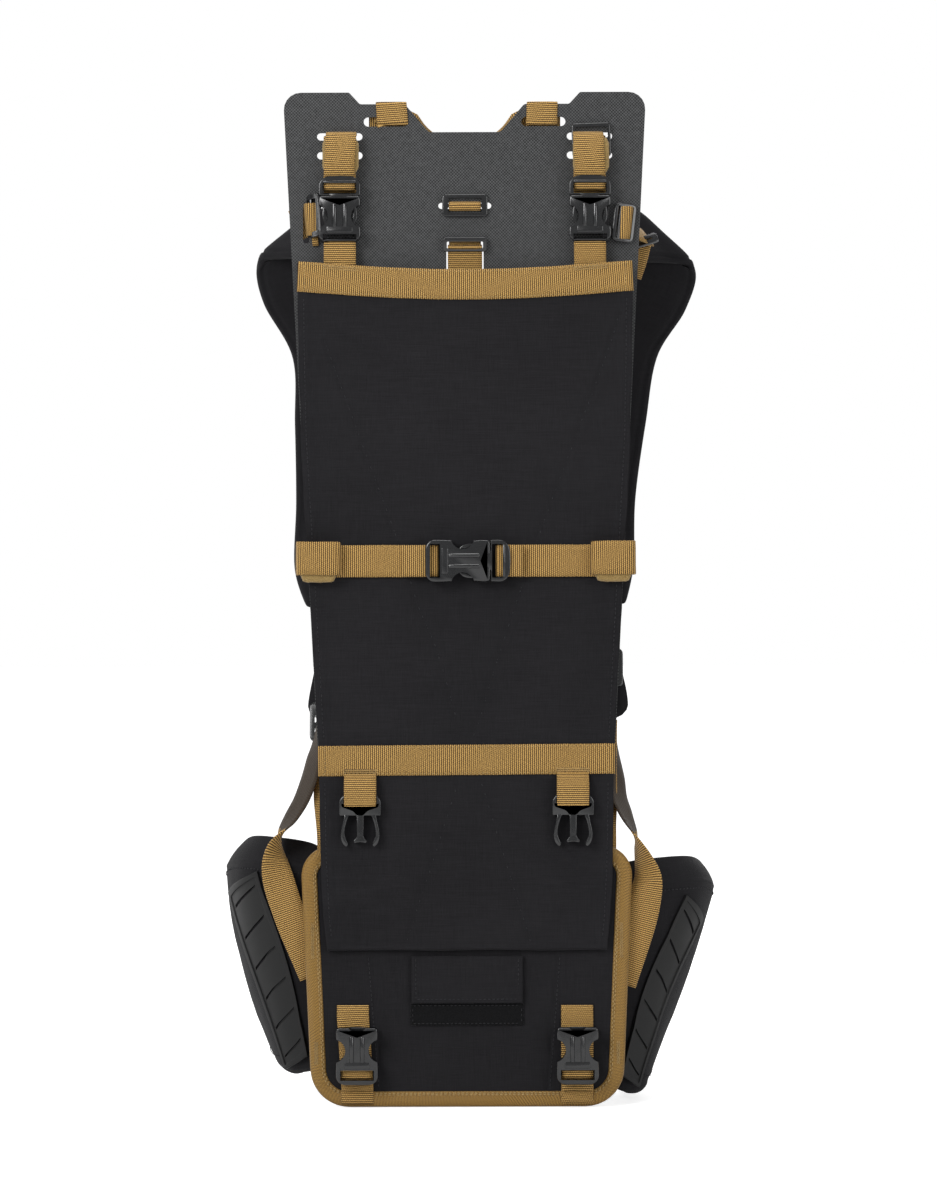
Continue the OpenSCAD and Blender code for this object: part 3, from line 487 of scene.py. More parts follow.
def stitches(name, rows, body, finish, size=(2.3, 0.38), gap=1.2, lift=0.15):
    # rows of thread along paths in millimetres: every stitch is one small six-sided lozenge
    long, wide = size
    points, faces = [], []
    for row in rows:
        line = [Vector(p) for p in row]
        marks = runLengths(line, lambda a, b: (b - a).length)
        count = max(1, int(marks[-1] / (long + gap)))
        for s in range(count):
            place = (s + 0.5) * marks[-1] / count
            i = max(k for k in range(len(marks) - 1) if marks[k] <= place)
            direction = (line[i + 1] - line[i]).normalized()
            middle = line[i] + direction * (place - marks[i])
            up = Vector((0, -1, 0))
            up = (up - direction * up.dot(direction)).normalized()
            across = direction.cross(up)
            first = len(points)
            for f, r in ((-0.5, 0.25), (-0.3, 1), (0.3, 1), (0.5, 0.25)):
                for turn in [math.tau * q / 6 for q in range(6)]:
                    points.append(at(*(middle + direction * f * long + across * math.cos(turn) * wide * r
                                       + up * (math.sin(turn) * wide * r * 0.7 + lift))))
            for k in range(first, first + 18, 6):
                faces += [(k + q, k + (q + 1) % 6, k + 6 + (q + 1) % 6, k + 6 + q) for q in range(6)]
            faces += [[first + q for q in range(5, -1, -1)], [first + 18 + q for q in range(6)]]
    thread = meshPiece(name, points, faces, finish)
    recalcNormals(thread)
    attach(thread, body)


def outlinePlate(name, outline, front, rear, bevel=0, segments=2):
    # a plate with its outline in X and Z: a primitive ring is shaped, extruded and bevelled
    deselect()
    bpy.ops.mesh.primitive_circle_add(vertices=len(outline), radius=1, fill_type="NGON")
    plate = bpy.context.object
    plate.name = name
    for vertex, (x, z) in zip(plate.data.vertices, outline):
        vertex.co = Vector((x, front, z))
    bpy.ops.object.mode_set(mode="EDIT")
    bpy.ops.mesh.select_all(action="SELECT")
    bpy.ops.mesh.extrude_region_move(TRANSFORM_OT_translate={"value": (0, rear - front, 0)})
    recalcNormals(plate)
    if bevel:
        roundEdges(plate, bevel, segments)
    return plate


def carve(piece, cutters, operation="DIFFERENCE"):
    for cutter in cutters:
        choose(piece)
        cut = piece.modifiers.new("cut", "BOOLEAN")
        cut.operation, cut.solver, cut.object = operation, "MANIFOLD", cutter
        bpy.ops.object.modifier_apply(modifier=cut.name)
        bpy.data.objects.remove(cutter)


def makeBar(length, radius, place, turn=(0, 90, 0)):
    deselect()
    bpy.ops.mesh.primitive_cylinder_add(vertices=20, radius=radius, depth=length, location=place,
                                        rotation=[math.radians(angle) for angle in turn])
    bpy.ops.object.transform_apply(location=True, rotation=True, scale=True)
    bar = bpy.context.object
    roundEdges(bar, radius * 0.3, 2)
    return bar


def block(x0, x1, y0, y1, z0, z1):
    deselect()
    bpy.ops.mesh.primitive_cube_add(size=1, location=((x0 + x1) / 2, (y0 + y1) / 2, (z0 + z1) / 2))
    bpy.context.object.scale = (x1 - x0, y1 - y0, z1 - z0)
    bpy.ops.object.transform_apply(location=True, rotation=True, scale=True)
    return bpy.context.object


def roundOutline(points, radii):
    made = []
    for i, (p, r) in enumerate(zip(points, radii)):
        made += roundCorner(points[i - 1], p, points[(i + 1) % len(points)], r) if r else [Vector(p)]
    return made


def mirrored(points):
    # the points and their mirror images; a last point on the middle line isn't repeated
    return list(points) + [(-x, z) for x, z in reversed(points) if x]


def window(half, low, high, radius):
    return outlinePlate("window", roundOutline(mirrored([(half, low), (half, high)]), [radius] * 4), -12, 12)


# rail: width of a buckle's side rails; barRoom: the bar's radius, a layer of webbing and its clearances;
# barSet: how far the bar lies behind the middle
buckleLook = {"rail": 3.2, "halfThickness": 6.0, "barRadius": 1.3, "slack": 0.6, "plugHalfThickness": 3.3}
barRoom, barSet = 3.4, 0.7


def makeSocket(name, web, body, adjuster):
    # the female half: mouth at z 0, face towards -Y, with a V in its mouth and a waist that shows the prongs
    inner = web / 2 + buckleLook["slack"]
    half = inner + buckleLook["rail"]
    t = buckleLook["halfThickness"]
    barZ = -body - 3 - barRoom
    foot = barZ - (7.5 if adjuster else 2.2)
    deep = -body * 0.58
    side = [(half - 0.8, 0), (half, -3.5), (half - 0.2, -8.5), (half - 1.2, -body * 0.5),
            (half - 0.4, -body * 0.78),
            (half + 0.2, -body - 1), (half + 0.1, foot + 4), (half * 0.72, foot)]
    radii = [2.2, 3, 3, 6, 6, 4, 3, 5]
    shell = outlinePlate(name, roundOutline(mirrored(side), radii + radii[::-1]), -t, t, 1.5, 3)
    cutters = [outlinePlate("notch", [(-web * 0.36, 3), (0, -7.5), (web * 0.36, 3)], -t - 1, -t + 2.6),
               block(2.4 - half, half - 2.4, -t + 2.1, t - 2.1, -26, 2)]
    for middle in (-half - 2.6, half + 2.6):
        # the prong window: a long oval that bites into each side of the face
        hole = makeBar(30, 8.6, (middle, 0, deep), (90, 0, 0))
        for vertex in hole.data.vertices:
            vertex.co.z = deep + (vertex.co.z - deep) * 1.1
            vertex.co.x = middle + (vertex.co.x - middle) * 1.16
        cutters.append(hole)
    cutters.append(block(-inner, inner, -t - 1, t + 1, foot + 3.6 if adjuster else foot - 2, -body - 2.4))
    carve(shell, cutters)
    if adjuster:
        carve(shell, [block(-inner, inner, 0.2, t + 1, foot - 1, foot + 5)])
    parts = [shell, makeBar(2 * inner + 1.6, buckleLook["barRadius"], (0, barSet, barZ))]
    # two raised flutes down the face, and the shoulder across their foot
    parts += [makeBar(body * 0.66, 2.0, (s * web * 0.165, -t + 0.9, -body * 0.55), (0, 0, 0)) for s in (-1, 1)]
    shoulder = roundOutline(mirrored([(web * 0.40, -body + 4), (web * 0.40, -body - 1.2)]), [1.5] * 4)
    parts.append(outlinePlate("shoulder", shoulder, -t - 0.5, -t + 1, 0.45))
    return dress(joinPieces(parts, name), acetal, 38)


def makePlug(name, web, plate, adjuster, swing=0.0, spread=0.0):
    # the male half: shoulders at z 0, two sprung arms and a guide tongue below, webbing frame above
    inner = web / 2 + buckleLook["slack"]
    half = inner + buckleLook["rail"]
    a, t = half - 2.8 + spread, buckleLook["plugHalfThickness"]
    barZ = plate + barRoom + swing
    top, front, crown = (barZ + 7.2, t + 1.4, 1.6) if adjuster else (barZ + 2.0, t, 0.6)
    high = top - (4.6 if adjuster else 2.4)
    side = [(half - 0.2, 0.4), (half, 3.0), (half, top - 4.5), (half - 3.2, top - 0.6),
            (half * 0.5, top + crown * 0.75), (0.0, top + crown)]
    ring = outlinePlate(name, roundOutline(mirrored(side), [1, 1.5, 3, 3, 4, 0, 4, 3, 3, 1.5, 1]), -front,
                        t + 0.5, 0.9, 3)
    carve(ring, [window(inner, plate - (2.6 if adjuster else 0.5), high, 1.2)])
    parts = [ring, makeBar(2 * inner + 1.4, buckleLook["barRadius"], (0, barSet, barZ))]
    if adjuster:
        wedge = roundOutline([(-web * 0.33, 1.6), (0, -6.6), (web * 0.33, 1.6)], [0.6, 1.2, 0.6])
        parts += [outlinePlate("wedge", wedge, -t - 2.0, t - 0.4, 0.5),
                  makeBar(2 * inner - 1, 1.3, (0, 0.9 - front, high + 1.0))]
    else:
        yoke = [(half - 1.0, plate + 0.6), (half - 1.4, plate - 3.2), (web * 0.22, plate - 6.5),
                (3.2, plate - 10)]
        parts.append(outlinePlate("yoke", roundOutline(mirrored(yoke), [1, 2, 3, 2, 2, 3, 2, 1]), -t, t, 0.7))
    tongue = mirrored([(2.7, 1.5), (2.5, -16.5), (5.2, -19.6), (4.6, -21.0), (0, -20.2)])
    parts.append(outlinePlate("tongue", roundOutline(tongue, [0, 3, 1, 1, 2, 1, 1, 3, 0]), -t, t - 0.2, 0.7))
    arm = [(a - 3.0, 1.4), (a - 1.6, -6), (a - 0.2, -11.5), (a + 0.1, -17), (a - 1.4, -21.6), (a - 4.2, -24.2),
           (a - 5.8, -22.6), (a - 4.6, -19.4), (a - 3.1, -16), (a - 2.9, -11), (a - 4.2, -5), (a - 6.6, 1.4)]
    for s in (-1, 1):
        outline = roundOutline([(s * x, z) for x, z in arm], [0, 4, 4, 3, 3, 2, 1.5, 2, 3, 4, 4, 0])
        parts.append(outlinePlate("arm", outline, -t, t - 0.2, 0.8))
    return dress(joinPieces(parts, name), acetal, 38)


def makeRing(name, wide, high, thick, bars, depth=2.6, radius=3.5):
    # a flat slider: a rounded plate with one or two windows
    outline = roundOutline(mirrored([(wide / 2, -high / 2), (wide / 2, high / 2)]), [radius] * 4)
    ring = outlinePlate(name, outline, -thick / 2, thick / 2, 0.8, 3)
    carve(ring, [window(wide / 2 - depth, low, top, 0.9) for low, top in bars])
    return dress(ring, acetal, 38)


def put(piece, body, x, y, z, turns=(), *nodes):
    # turns are (axis, degrees), the first one first; then the piece goes to its place
    piece.data.transform(Matrix.Scale(mm, 4))
    for axis, angle in turns:
        piece.data.transform(Matrix.Rotation(math.radians(angle), 4, axis))
    piece.data.transform(Matrix.Translation(at(x, y, z)))
    return settle(piece, body, *nodes, slot="black_plastic")


viewLook = {"width": 740.2, "height": 948.0, "middleX": 2.0, "middleZ": 401.3, "distance": 3600.0, "roll": 0.17}
# name, place, size, power
softboxes = (("keySoftbox", (-1500, -1900, 1500), 1.2, 36), ("fillSoftbox", (1700, -1700, 900), 1.2, 13),
             ("topSoftbox", (100, -300, 2300), 1.2, 16), ("rearSoftbox", (500, 2200, 1300), 1.6, 26),
             ("rearFill", (-1800, 1300, 700), 1.4, 12))


def makeView():
    camera = bpy.data.objects.new("camera", bpy.data.cameras.new("camera"))
    scene.collection.objects.link(camera)
    camera.location = at(viewLook["middleX"], -14 - viewLook["distance"], viewLook["middleZ"])
    camera.rotation_euler = (math.radians(90), math.radians(viewLook["roll"]), 0)
    camera.data.sensor_fit = "VERTICAL"
    camera.data.sensor_height = 36
    camera.data.lens = 36 * viewLook["distance"] / viewLook["height"]
    camera.data.clip_end = 60
    scene.camera = camera
    for name, place, size, power in softboxes:
        lamp = bpy.data.objects.new(name, bpy.data.lights.new(name, "AREA"))
        scene.collection.objects.link(lamp)
        lamp.data.size, lamp.data.energy = size, power
        lamp.location = at(*place)
        lamp.rotation_euler = (at(0, 0, 420) - lamp.location).to_track_quat("-Z", "Y").to_euler()
    # the surroundings look white to the camera and give the object only a soft light
    seen = [("rays", "LightPath", {}),
            ("seen", "Math MAXIMUM", {0: "rays.Is Camera Ray", 1: "rays.Is Transmission Ray"})]
    scene.world = growTree(bpy.data.worlds.new("studio"), seen + [
        ("soft", "Background", {"Color": (1, 1, 1, 1), "Strength": 0.3}),
        ("white", "Background", {"Color": (1, 1, 1, 1), "Strength": 1.0}),
        ("both", "MixShader", {0: "seen", 1: "soft", 2: "white"}),
        ("out", "OutputWorld", {"Surface": "both"})])
    material = growTree(bpy.data.materials.new("whiteStudioFloor"), seen + [
        ("matt", "BsdfDiffuse", {"Color": (0.8, 0.8, 0.8, 1)}),
        ("place", "TexCoord", {}),
        ("away", "VectorMath LENGTH", {0: "place.Object"}),
        ("level", "MapRange",
         {"From Min": 0.7, "From Max": 2.6, "To Min": 0.72, "To Max": 1.0, "Value": "away.Value"}),
        ("lift", "Math MULTIPLY", {0: "seen", 1: "level"}),
        ("glow", "Emission", {"Color": (1, 1, 1, 1), "Strength": "lift"}),
        ("sum", "AddShader", {0: "matt", 1: "glow"}),
        ("out", "OutputMaterial", {"Surface": "sum"})])
    deselect()
    bpy.ops.mesh.primitive_circle_add(vertices=64, radius=24, fill_type="NGON",
                                      location=(0, 0, footLevel - 0.0005))
    floor = bpy.context.object
    floor.name = "floor"
    floor.data.materials.append(material)


makeView()
scene.view_settings.view_transform = "Standard"

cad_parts["frame_sheet"].data.materials.clear()
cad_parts["frame_sheet"].data.materials.append(carbonWeave)


def placeBuckles():
    # reach: from the tips of a plug's arms to its shoulders
    reach, sideways, frontways = 24, (("Y", 90),), (("Z", 180), ("Y", 90))
    low, high, middle = span("top_sockets")
    face = middle.y
    for side, x in (("Left", low.x + 16.5), ("Right", high.x - 16.5)):
        put(makeSocket("topSocket" + side, mainWeb, 28, False), "load_panel", x, face, high.z, (), "top_sockets")
    for side, s in bothSides:
        node = "top_plug_" + side.lower()
        low, high, middle = span(node)
        put(makePlug("topPlug" + side, mainWeb, 4.2, True), node, middle.x, face, low.z + reach, (), node)
        node = "lower_plug_" + side.lower()
        low, high, middle = span(node)
        put(makePlug("lowerPlug" + side, mainWeb, 10, False, 1.6, 1.6), node, middle.x, high.y - 3.8,
            low.z + reach, (), node)
        node = "base_socket_" + side.lower()
        low, high, middle = span(node)
        put(makeSocket("baseSocket" + side, mainWeb, 31, True), node, middle.x, middle.y, high.z, (), node)
    for kind, web, body, adjuster, plate, holder, turns in (
            ("compression", mainWeb, 37, True, 4.2, "compression_left", sideways),
            ("belt", beltWeb, 30, False, 6, "hip_wing_left", frontways),
            ("sternum", sternumWeb, 28, False, 4.2, "sternum_left", frontways)):
        low, high, middle = span(kind + "_socket")
        put(makeSocket(kind + "Socket", web, body, adjuster), holder, high.x, middle.y, middle.z, turns,
            kind + "_socket")
        tip = span(kind + "_plug")[0].x
        put(makePlug(kind + "Plug", web, plate, True), kind + "_plug", tip + reach, middle.y, middle.z, turns,
            kind + "_plug")


placeBuckles()
print("buckles placed")


def pile(name, low, high, power, body, fuzz=0.4):
    # a soft rolled core: a superellipse in Y and Z drawn out along X, with full ends and brushed fibres
    rows, across, around = [], 14, 28
    for i in range(across + 1):
        t = -1 + 2 * i / across
        shrink = (1 - abs(t) ** 6) ** 0.5 * 0.35 + 0.65
        row = []
        for c, q in padSection((power, power), around):
            x, y, z = [mix(a, b, (f + 1) / 2) for a, b, f in zip(low, high, (t, c * shrink, q * shrink))]
            fibre = wobble(x + 31, y, z, 3.0) * fuzz
            row.append((x, y + fibre, z + fibre))
        rows.append(row)
    settle(skin(name, rows, feltTan, capped=True, wrapped=True), body)


def padSection(power, count):
    turns = [math.tau * k / count for k in range(count)]
    return [(math.copysign(abs(math.cos(turn)) ** (2 / power[0]), math.cos(turn)),
             math.copysign(abs(math.sin(turn)) ** (2 / power[1]), math.sin(turn))) for turn in turns]


# frontY and rearY: webbing that lies on the two faces of the sheet; fold: half the room between the two layers
# of webbing round a bar
strapLook = {"frontY": -1.05, "rearY": 4.05, "fold": 2.35, "topX": 99.0, "tabX": 84.0, "baseX": 87.0,
             "ribbonY": -15.65, "strapZ": 432.2, "tight": mainWeb - 0.4}


def makeTopWebbing():
    front, rear, fold, mouth = strapLook["frontY"], strapLook["rearY"], strapLook["fold"], 721
    for (side, s), loopX, lean in zip(bothSides, (-58.2, 61.6), (1.2, -0.6)):
        path = [(loopX - lean, rear, 779.5), (loopX, rear, 796), (loopX, front, 796),
                (loopX + lean, front, 779.0),
                (loopX + lean, rear - 1.4, 778.6), (loopX, rear - 0.4, 781)]
        lay("handleLoop" + side, path, 24.5, "pack", "handle_loops", radius=1.6, step=2.5)
        x, bar, body = s * strapLook["topX"], -8.5 + barSet, "top_plug_" + side.lower()
        path = [(x, rear, 735), (x, rear, 769), (x, front, 769), (x, front, 724)]
        lay("topStrap" + side, path, mainWeb, "pack", "top_straps", radius=1.5)
        path = [(x, bar - fold, mouth + 19), (x, bar - fold, mouth + 5.25), (x, bar + fold, mouth + 5.25),
                (x, bar + fold, mouth + 24)]
        lay("topPlugLoop" + side, path, strapLook["tight"], body, radius=2.3, step=3)
        # the folded tail hangs over the buckle's frame, wound round a core of loop pile
        shape = [(x - 1.5 * s, -2.6, 769.5), (x - 1.5 * s, -8, 771.2), (x - 1.2 * s, -13.6, 768),
                 (x - 0.8 * s, -15.6, 757),
                 (x, -15.4, 745), (x, -12.8, 737.6), (x, -8.6, 738), (x, -6.7, 746), (x, -6.6, 762)]
        lay("topTail" + side, splinePath(shape, 2), 24.2, body, "top_tail_" + side.lower(), radius=0, wave=0.5)
        pile("topTailCore" + side, (x - 13.4, -13.8, 738.5), (x + 15.2, -7.6, 767.5), 3, body)
        path = [(x, -10.15, 650), (x, -10.15, 684.4), (x, -5.45, 684.4), (x, -5.45, 674)]
        lay("topTab" + side, path, mainWeb, "load_panel", "top_tabs", radius=2.2)
    half = [(76, 6.2, 781.7), (60, 6.2, 781.7), (48, 6.4, 781.7), (42, 8.2, 779), (34, 16.2, 770),
            (22, 28.2, 762), (8, 36.2, 759)]
    line = splinePath([(-x, y, z) for x, y, z in half] + half[::-1], 5)
    lay("haulHandle", line, 20, "pack", "haul_handle", thick=2.2, side=acrossZ, radius=0)


def makePanelWebbing():
    y, bar, barZ, fold = -14.35, -17.7, 240.8, strapLook["fold"]
    for side, s in bothSides:
        x = s * strapLook["tabX"]
        path = [(x, y - 0.3, 268), (x, y - 0.3, 262), (x, bar + fold, 257), (x, bar + fold, barZ - fold),
                (x, bar - 3.9, barZ - fold),
                (x, bar - 4.1, 255), (x, bar - 2.6, 259), (x, bar + 0.4, 262), (x, bar + 0.9, 264)]
        lay("lowerTab" + side, path, mainWeb, "load_panel", "lower_tabs", radius=2.3, step=3)
        x = s * strapLook["baseX"]
        top = x - (3.4 if s < 0 else 0)
        path = [(x, -9.9, 3), (x, -10.1, 15), (mix(x, top, 0.6), -10.1, 52), (top, -9.3, 72), (top, -9.3, 81)]
        lay("baseWebbing" + side, path, mainWeb, "pack", "base_webbing", radius=6)
        base, foot = -17.35 + barSet, 30 - barRoom
        path = [(base + 3.6, foot - 13), (base + 3.2, foot + 1), (base + 2.4, foot + 9),
                (base - 1.8, foot + 10.5),
                (base - fold, foot + 3), (base - fold, foot - fold), (base + 1.2, foot - fold)]
        lay("baseLoop" + side, [(x, y, z) for y, z in path], strapLook["tight"], "base_socket_" + side.lower(),
            radius=2.2, step=3)


def makeCompressionWebbing():
    z, ribbon, fold = strapLook["strapZ"], strapLook["ribbonY"], strapLook["fold"]
    front, rear, tight = strapLook["frontY"], strapLook["rearY"], strapLook["tight"]
    far = span("compression_anchors")[1].x
    edge, axis = far - 1.5, far + 2.2
    x = axis - 14
    for (side, s), inner in zip(bothSides, (34, 25)):
        path = [(edge - 14.5, front), (edge + 0.75, front), (edge + 0.75, rear), (edge - 14.5, rear)]
        lay("compressionAnchor" + side, [(s * a, b, z) for a, b in path], mainWeb, "pack", "compression_anchors",
            side=acrossZ, radius=1.4)
        body = "compression_" + side.lower()
        path = [(axis, 1.5), (axis, ribbon + 4), (axis - 4, ribbon), (inner, ribbon)]
        lay("compressionStrap" + side, [(s * a, b, z) for a, b in path], mainWeb, body,
            "compression_strap_" + side.lower(),
            side=acrossZ, radius=3.5, wave=0.4)
        shape = [(-13, -1.5, 1.2), (-16.4, -4, 1.6), (-14.5, -9.6, 2), (0, -10.6, 2.2), (14.2, -9.6, 2.4),
                 (17.2, -5, 2.4),
                 (15.6, -1.4, 2), (8, -1.0, 2)]
        line = splinePath([(s * (x + a), ribbon + b, z + c) for a, b, c in shape], 2)
        lay("compressionTail" + side, line, 26.5, body, "compression_tail_" + side.lower(), side=acrossZ,
            radius=0, wave=0.5)
        a, b = sorted((s * (x - 14.0), s * (x + 14.5)))
        pile("compressionTailCore" + side, (a, ribbon - 9.2, z - 16.8), (b, ribbon - 1.8, z + 13.5), 2.6, body)
    # reach and end: the bars of the plug and of the socket
    middle, reach, end = -20.75 + barSet, 24.25, -21 - barRoom
    path = [(-46, ribbon - 1.2), (-40, middle + fold), (end - fold, middle + fold), (end + fold, middle + fold),
            (end + fold, middle - fold), (end - fold, middle - fold), (end - 10, middle - 1.2),
            (-50, ribbon - 2.0)]
    lay("socketLoop", [(a, b, z) for a, b in path], tight, "compression_left", side=acrossZ, radius=2.2, step=3)
    path = [(45, middle - 1.6), (34, middle - fold), (reach, middle - fold), (reach, middle + fold),
            (45, middle + 2.6)]
    lay("plugLoop", [(a, b, z) for a, b in path], tight, "compression_plug", "compression_plug_loop",
        side=acrossZ,
        radius=2.2, step=3)


makeTopWebbing()
makePanelWebbing()
makeCompressionWebbing()
print("webbing laid")

panelLook = {"front": -13.35, "cloth": 1.0, "hem": 9.0, "topZ": 668.0, "deep": 541, "across": 96, "down": 190,
             "barZ": 657.2, "lowerZ": 275.0, "barY": -14.45}
panelEdge = [(125, 110.5), (150, 113.2), (200, 115.6), (287, 117.0), (354, 120.5), (445, 125.6), (531, 130.4),
             (600, 131.8), (668, 132.4)]
panelSeams = [[(-111.4, 607.5), (-89.3, 545.9), (-53.7, 447.9), (-37.9, 397.4), (-22.9, 361), (-6.5, 303)],
              [(122, 628), (111.4, 594.1), (82.9, 519), (56.1, 447.1), (25.3, 355.5), (10.3, 306.5), (4.0, 290)],
              [(-7.1, 256), (-28, 191), (-49, 128)], [(11.9, 256.8), (31, 194), (50.6, 130.4)]]


def topSag(x):
    return 6.5 * (1 - (x / 132) ** 2) ** 1.2 if abs(x) < 132 else 0.0


def nearLine(x, z, line):
    best = 1e9
    for (ax, az), (bx, bz) in zip(line, line[1:]):
        dx, dz = bx - ax, bz - az
        t = min(max(((x - ax) * dx + (z - az) * dz) / (dx * dx + dz * dz), 0), 1)
        best = min(best, math.hypot(x - ax - dx * t, z - az - dz * t))
    return best


def panelFront(x, z):
    # how far the cloth's outer face lies from the sheet: hems, sewn seams, slack and pulls
    inside = between(panelEdge, z) - abs(x)
    y = panelLook["front"] - 0.8 * smooth(panelLook["hem"] + 0.7, panelLook["hem"] - 0.7, inside)
    quiet = 1 - max(bell(z - 432, 20), bell(z - 275, 17), bell(z - 656, 20))
    slack = wobble(x, 3, z * 0.7, 62) * 2.3 + wobble(x, 9, z, 27) * 0.9
    pull = bell((z - 205) + (x - 62) * 0.42, 9) * smooth(20, 70, x) * 2.2
    pull += bell((z - 172) - (x + 70) * 0.3, 8) * smooth(-15, -75, x) * 1.5
    pull += bell((z - 598) + (x + 60) * 0.5, 9) * smooth(10, -60, x) * 1.3
    y -= (slack * 0.8 + 0.25) * quiet * smooth(0, 16, inside) + pull * quiet
    for line in panelSeams:
        gap = nearLine(x, z, line)
        if gap < 7:
            y += (1.1 * bell(gap, 1.2) - 0.5 * bell(gap - 3.2, 1.8)) * quiet
    return y


def sewnRows(points, *gaps):
    # the parts of a row of stitches on the panel that lie outside the gaps in height
    rows = [[]]
    for x, z in points:
        if any(low < z < high for low, high in gaps):
            rows.append([])
        else:
            rows[-1].append((x, panelFront(x, z) - 0.02, z))
    return [row for row in rows if len(row) > 1]


def makeLoadPanel():
    rows, across, down = [], panelLook["across"], panelLook["down"]
    for k in range(down + 1):
        z = panelLook["topZ"] - panelLook["deep"] * k / down
        row = []
        for j in range(across + 1):
            u = -1 + 2 * j / across
            u = math.copysign(1 - (1 - abs(u)) ** 1.25, u)
            x = u * (between(panelEdge, z) + wobble(7 if u > 0 else 2, 0, z, 38) * 0.9)
            drop = topSag(x) * smooth(330, 668, z)
            row.append((x, panelFront(x, z - drop), z - drop))
        rows.append(row)
    hingeY, hingeZ, radius = -12.0, 127.2, 2.2
    for k in range(1, 11):
        turn = math.pi * k / 10
        rows.append([(x * mix(1, 0.995, k / 10), mix(y, hingeY - radius * math.cos(turn), smooth(0, 3, k)),
                      hingeZ + 0.7 * wobble(x, 5, 0, 45) - radius * math.sin(turn) - (0.5 if 2 < k < 8 else 0))
                     for x, y, z in rows[down]])
    rows.append([(x, y + 0.1, z + 5) for x, y, z in rows[-1]])
    cloth = skin("loadPanelCloth", rows, panelNylon)
    if cloth.data.polygons[2000].normal.y > 0:
        cloth.data.flip_normals()
    thicken(cloth, panelLook["cloth"], -1)
    cloth.data.shade_smooth()
    settle(cloth, "load_panel", "load_panel", slot="black_fabric")
    rows = []
    for s in (-1, 1):
        levels = [640 - k * 5.8 for k in range(88)]
        rows += sewnRows([(s * (between(panelEdge, z) - 4.6), z) for z in levels], (262, 289), (418, 447))
    for seam in panelSeams:
        rows += sewnRows([p[:2] for p in splinePath([(x, z, 0) for x, z in seam], 5)], (418, 447))
    stitches("loadPanelThread", rows, "load_panel", threadBlack)
    anchor = [[(-106.4 + 212.8 * j / 40,
                -8.95 - (1 if k == 0 else 0) - 0.35 * wobble(j * 5.0, 4, 125.6 + 3.2 * k, 30), 125.6 + 3.2 * k)
               for j in range(41)] for k in range(9)]
    flap = skin("panelAnchor", anchor, panelNylon)
    thicken(flap, 0.8)
    settle(flap, "pack", "load_panel_anchor", slot="black_fabric")


def makeBars():
    # the two webbing bars across the panel; tabX and edge: where the tabs are tacked to them
    face = panelLook["barY"]
    for name, node, middle, sag, half, tabX, edge in (
            ("topBar", "load_panel_top_bar", panelLook["barZ"], True, 132.4, strapLook["topX"], 9.6),
            ("lowerBar", "load_panel_lower_bar", panelLook["lowerZ"], False, 117.2, strapLook["tabX"], -9.2)):
        def height(x):
            return middle - (topSag(x) if sag else -x * 0.006)
        line = [(x, face - 0.12 * wobble(x, 2, 8, 20), height(x))
                for x in [-half + 2 * half * k / 66 for k in range(67)]]
        lay(name, line, 24, "load_panel", node, thick=1.3, side=acrossZ, radius=0, wave=0.3)
        rows = [[(x, face - 0.75, height(x) + offset)
                 for x in [-half + 3 + (2 * half - 6) * k / 40 for k in range(41)]]
                for offset in (-10.3, 10.3)]
        rows += [[(x, face - 0.75, height(x) - 10), (x, face - 0.75, height(x) + 10)]
                 for x in (-half + 5.5, half - 5.5)]
        stitches(name + "Thread", rows, "load_panel", threadTan, size=(2.0, 0.3), gap=1.3, lift=0.0)
        rows = []
        for s in (-1, 1):
            for z in (edge, edge - math.copysign(1.7, edge)):
                rows.append([(s * tabX - 13.4 + 0.9 * q, face - 0.8,
                              height(s * tabX) + z + (0.55 if q % 2 else -0.55)
                              + (0.06 * (q - 15) * (s if sag else 0))) for q in range(31)])
        stitches(name + "Bartacks", rows, "load_panel", threadTan, size=(0.9, 0.34), gap=0.12, lift=0.05)


lowerLook = {"halfTop": 131.0, "halfFoot": 124.5, "height": 207.0, "cornerFoot": 31.0, "cornerTop": 24.0,
             "board": 7.2, "tape": 0.7, "flapHalf": 44, "stripHalf": 44.5}
lowerSeams = [[(-75.8, 121), (-67.9, 10)], [(71.1, 121), (63.2, 10)]]
# the binding's section: how far in from the edge, and how far out from the sheet
bindingSection = [(12.6, -8.45), (11.8, -8.95), (9.5, -9.15), (6.2, -9.3), (3.0, -9.1), (1.0, -7.9), (0.1, -5.6),
                  (0.0, -3.8), (0.8, -1.6), (2.4, -0.7), (6, -0.45), (12, -0.35)]


def lowerHalf(z):
    return mix(lowerLook["halfFoot"], lowerLook["halfTop"], z / lowerLook["height"])


def denseOutline(inset, count):
    # the panel's outline from its right foot round, pulled in by inset, in points at even distances
    foot, top, high = [lowerLook[key] - inset for key in ("halfFoot", "halfTop", "height")]
    points, low = [], max(lowerLook["cornerFoot"] - inset, 4)
    tall = max(lowerLook["cornerTop"] - inset, 4)
    for x, z, r, start in ((foot, inset, low, -90), (top, high, tall, 0), (-top, high, tall, 90),
                           (-foot, inset, low, 180)):
        for turn in [math.radians(start + 90 * k / 9) for k in range(10)]:
            points.append((x - math.copysign(r, x) + r * math.cos(turn),
                           z + (r if start in (-90, 180) else -r) + r * math.sin(turn)))
    points.append(points[0])
    marks = runLengths(points)
    made, i = [], 0
    for k in range(count):
        goal = marks[-1] * k / count
        while marks[i + 1] < goal:
            i += 1
        t = (goal - marks[i]) / (marks[i + 1] - marks[i])
        made.append([mix(a, b, t) for a, b in zip(points[i], points[i + 1])])
    return made, marks[-1]


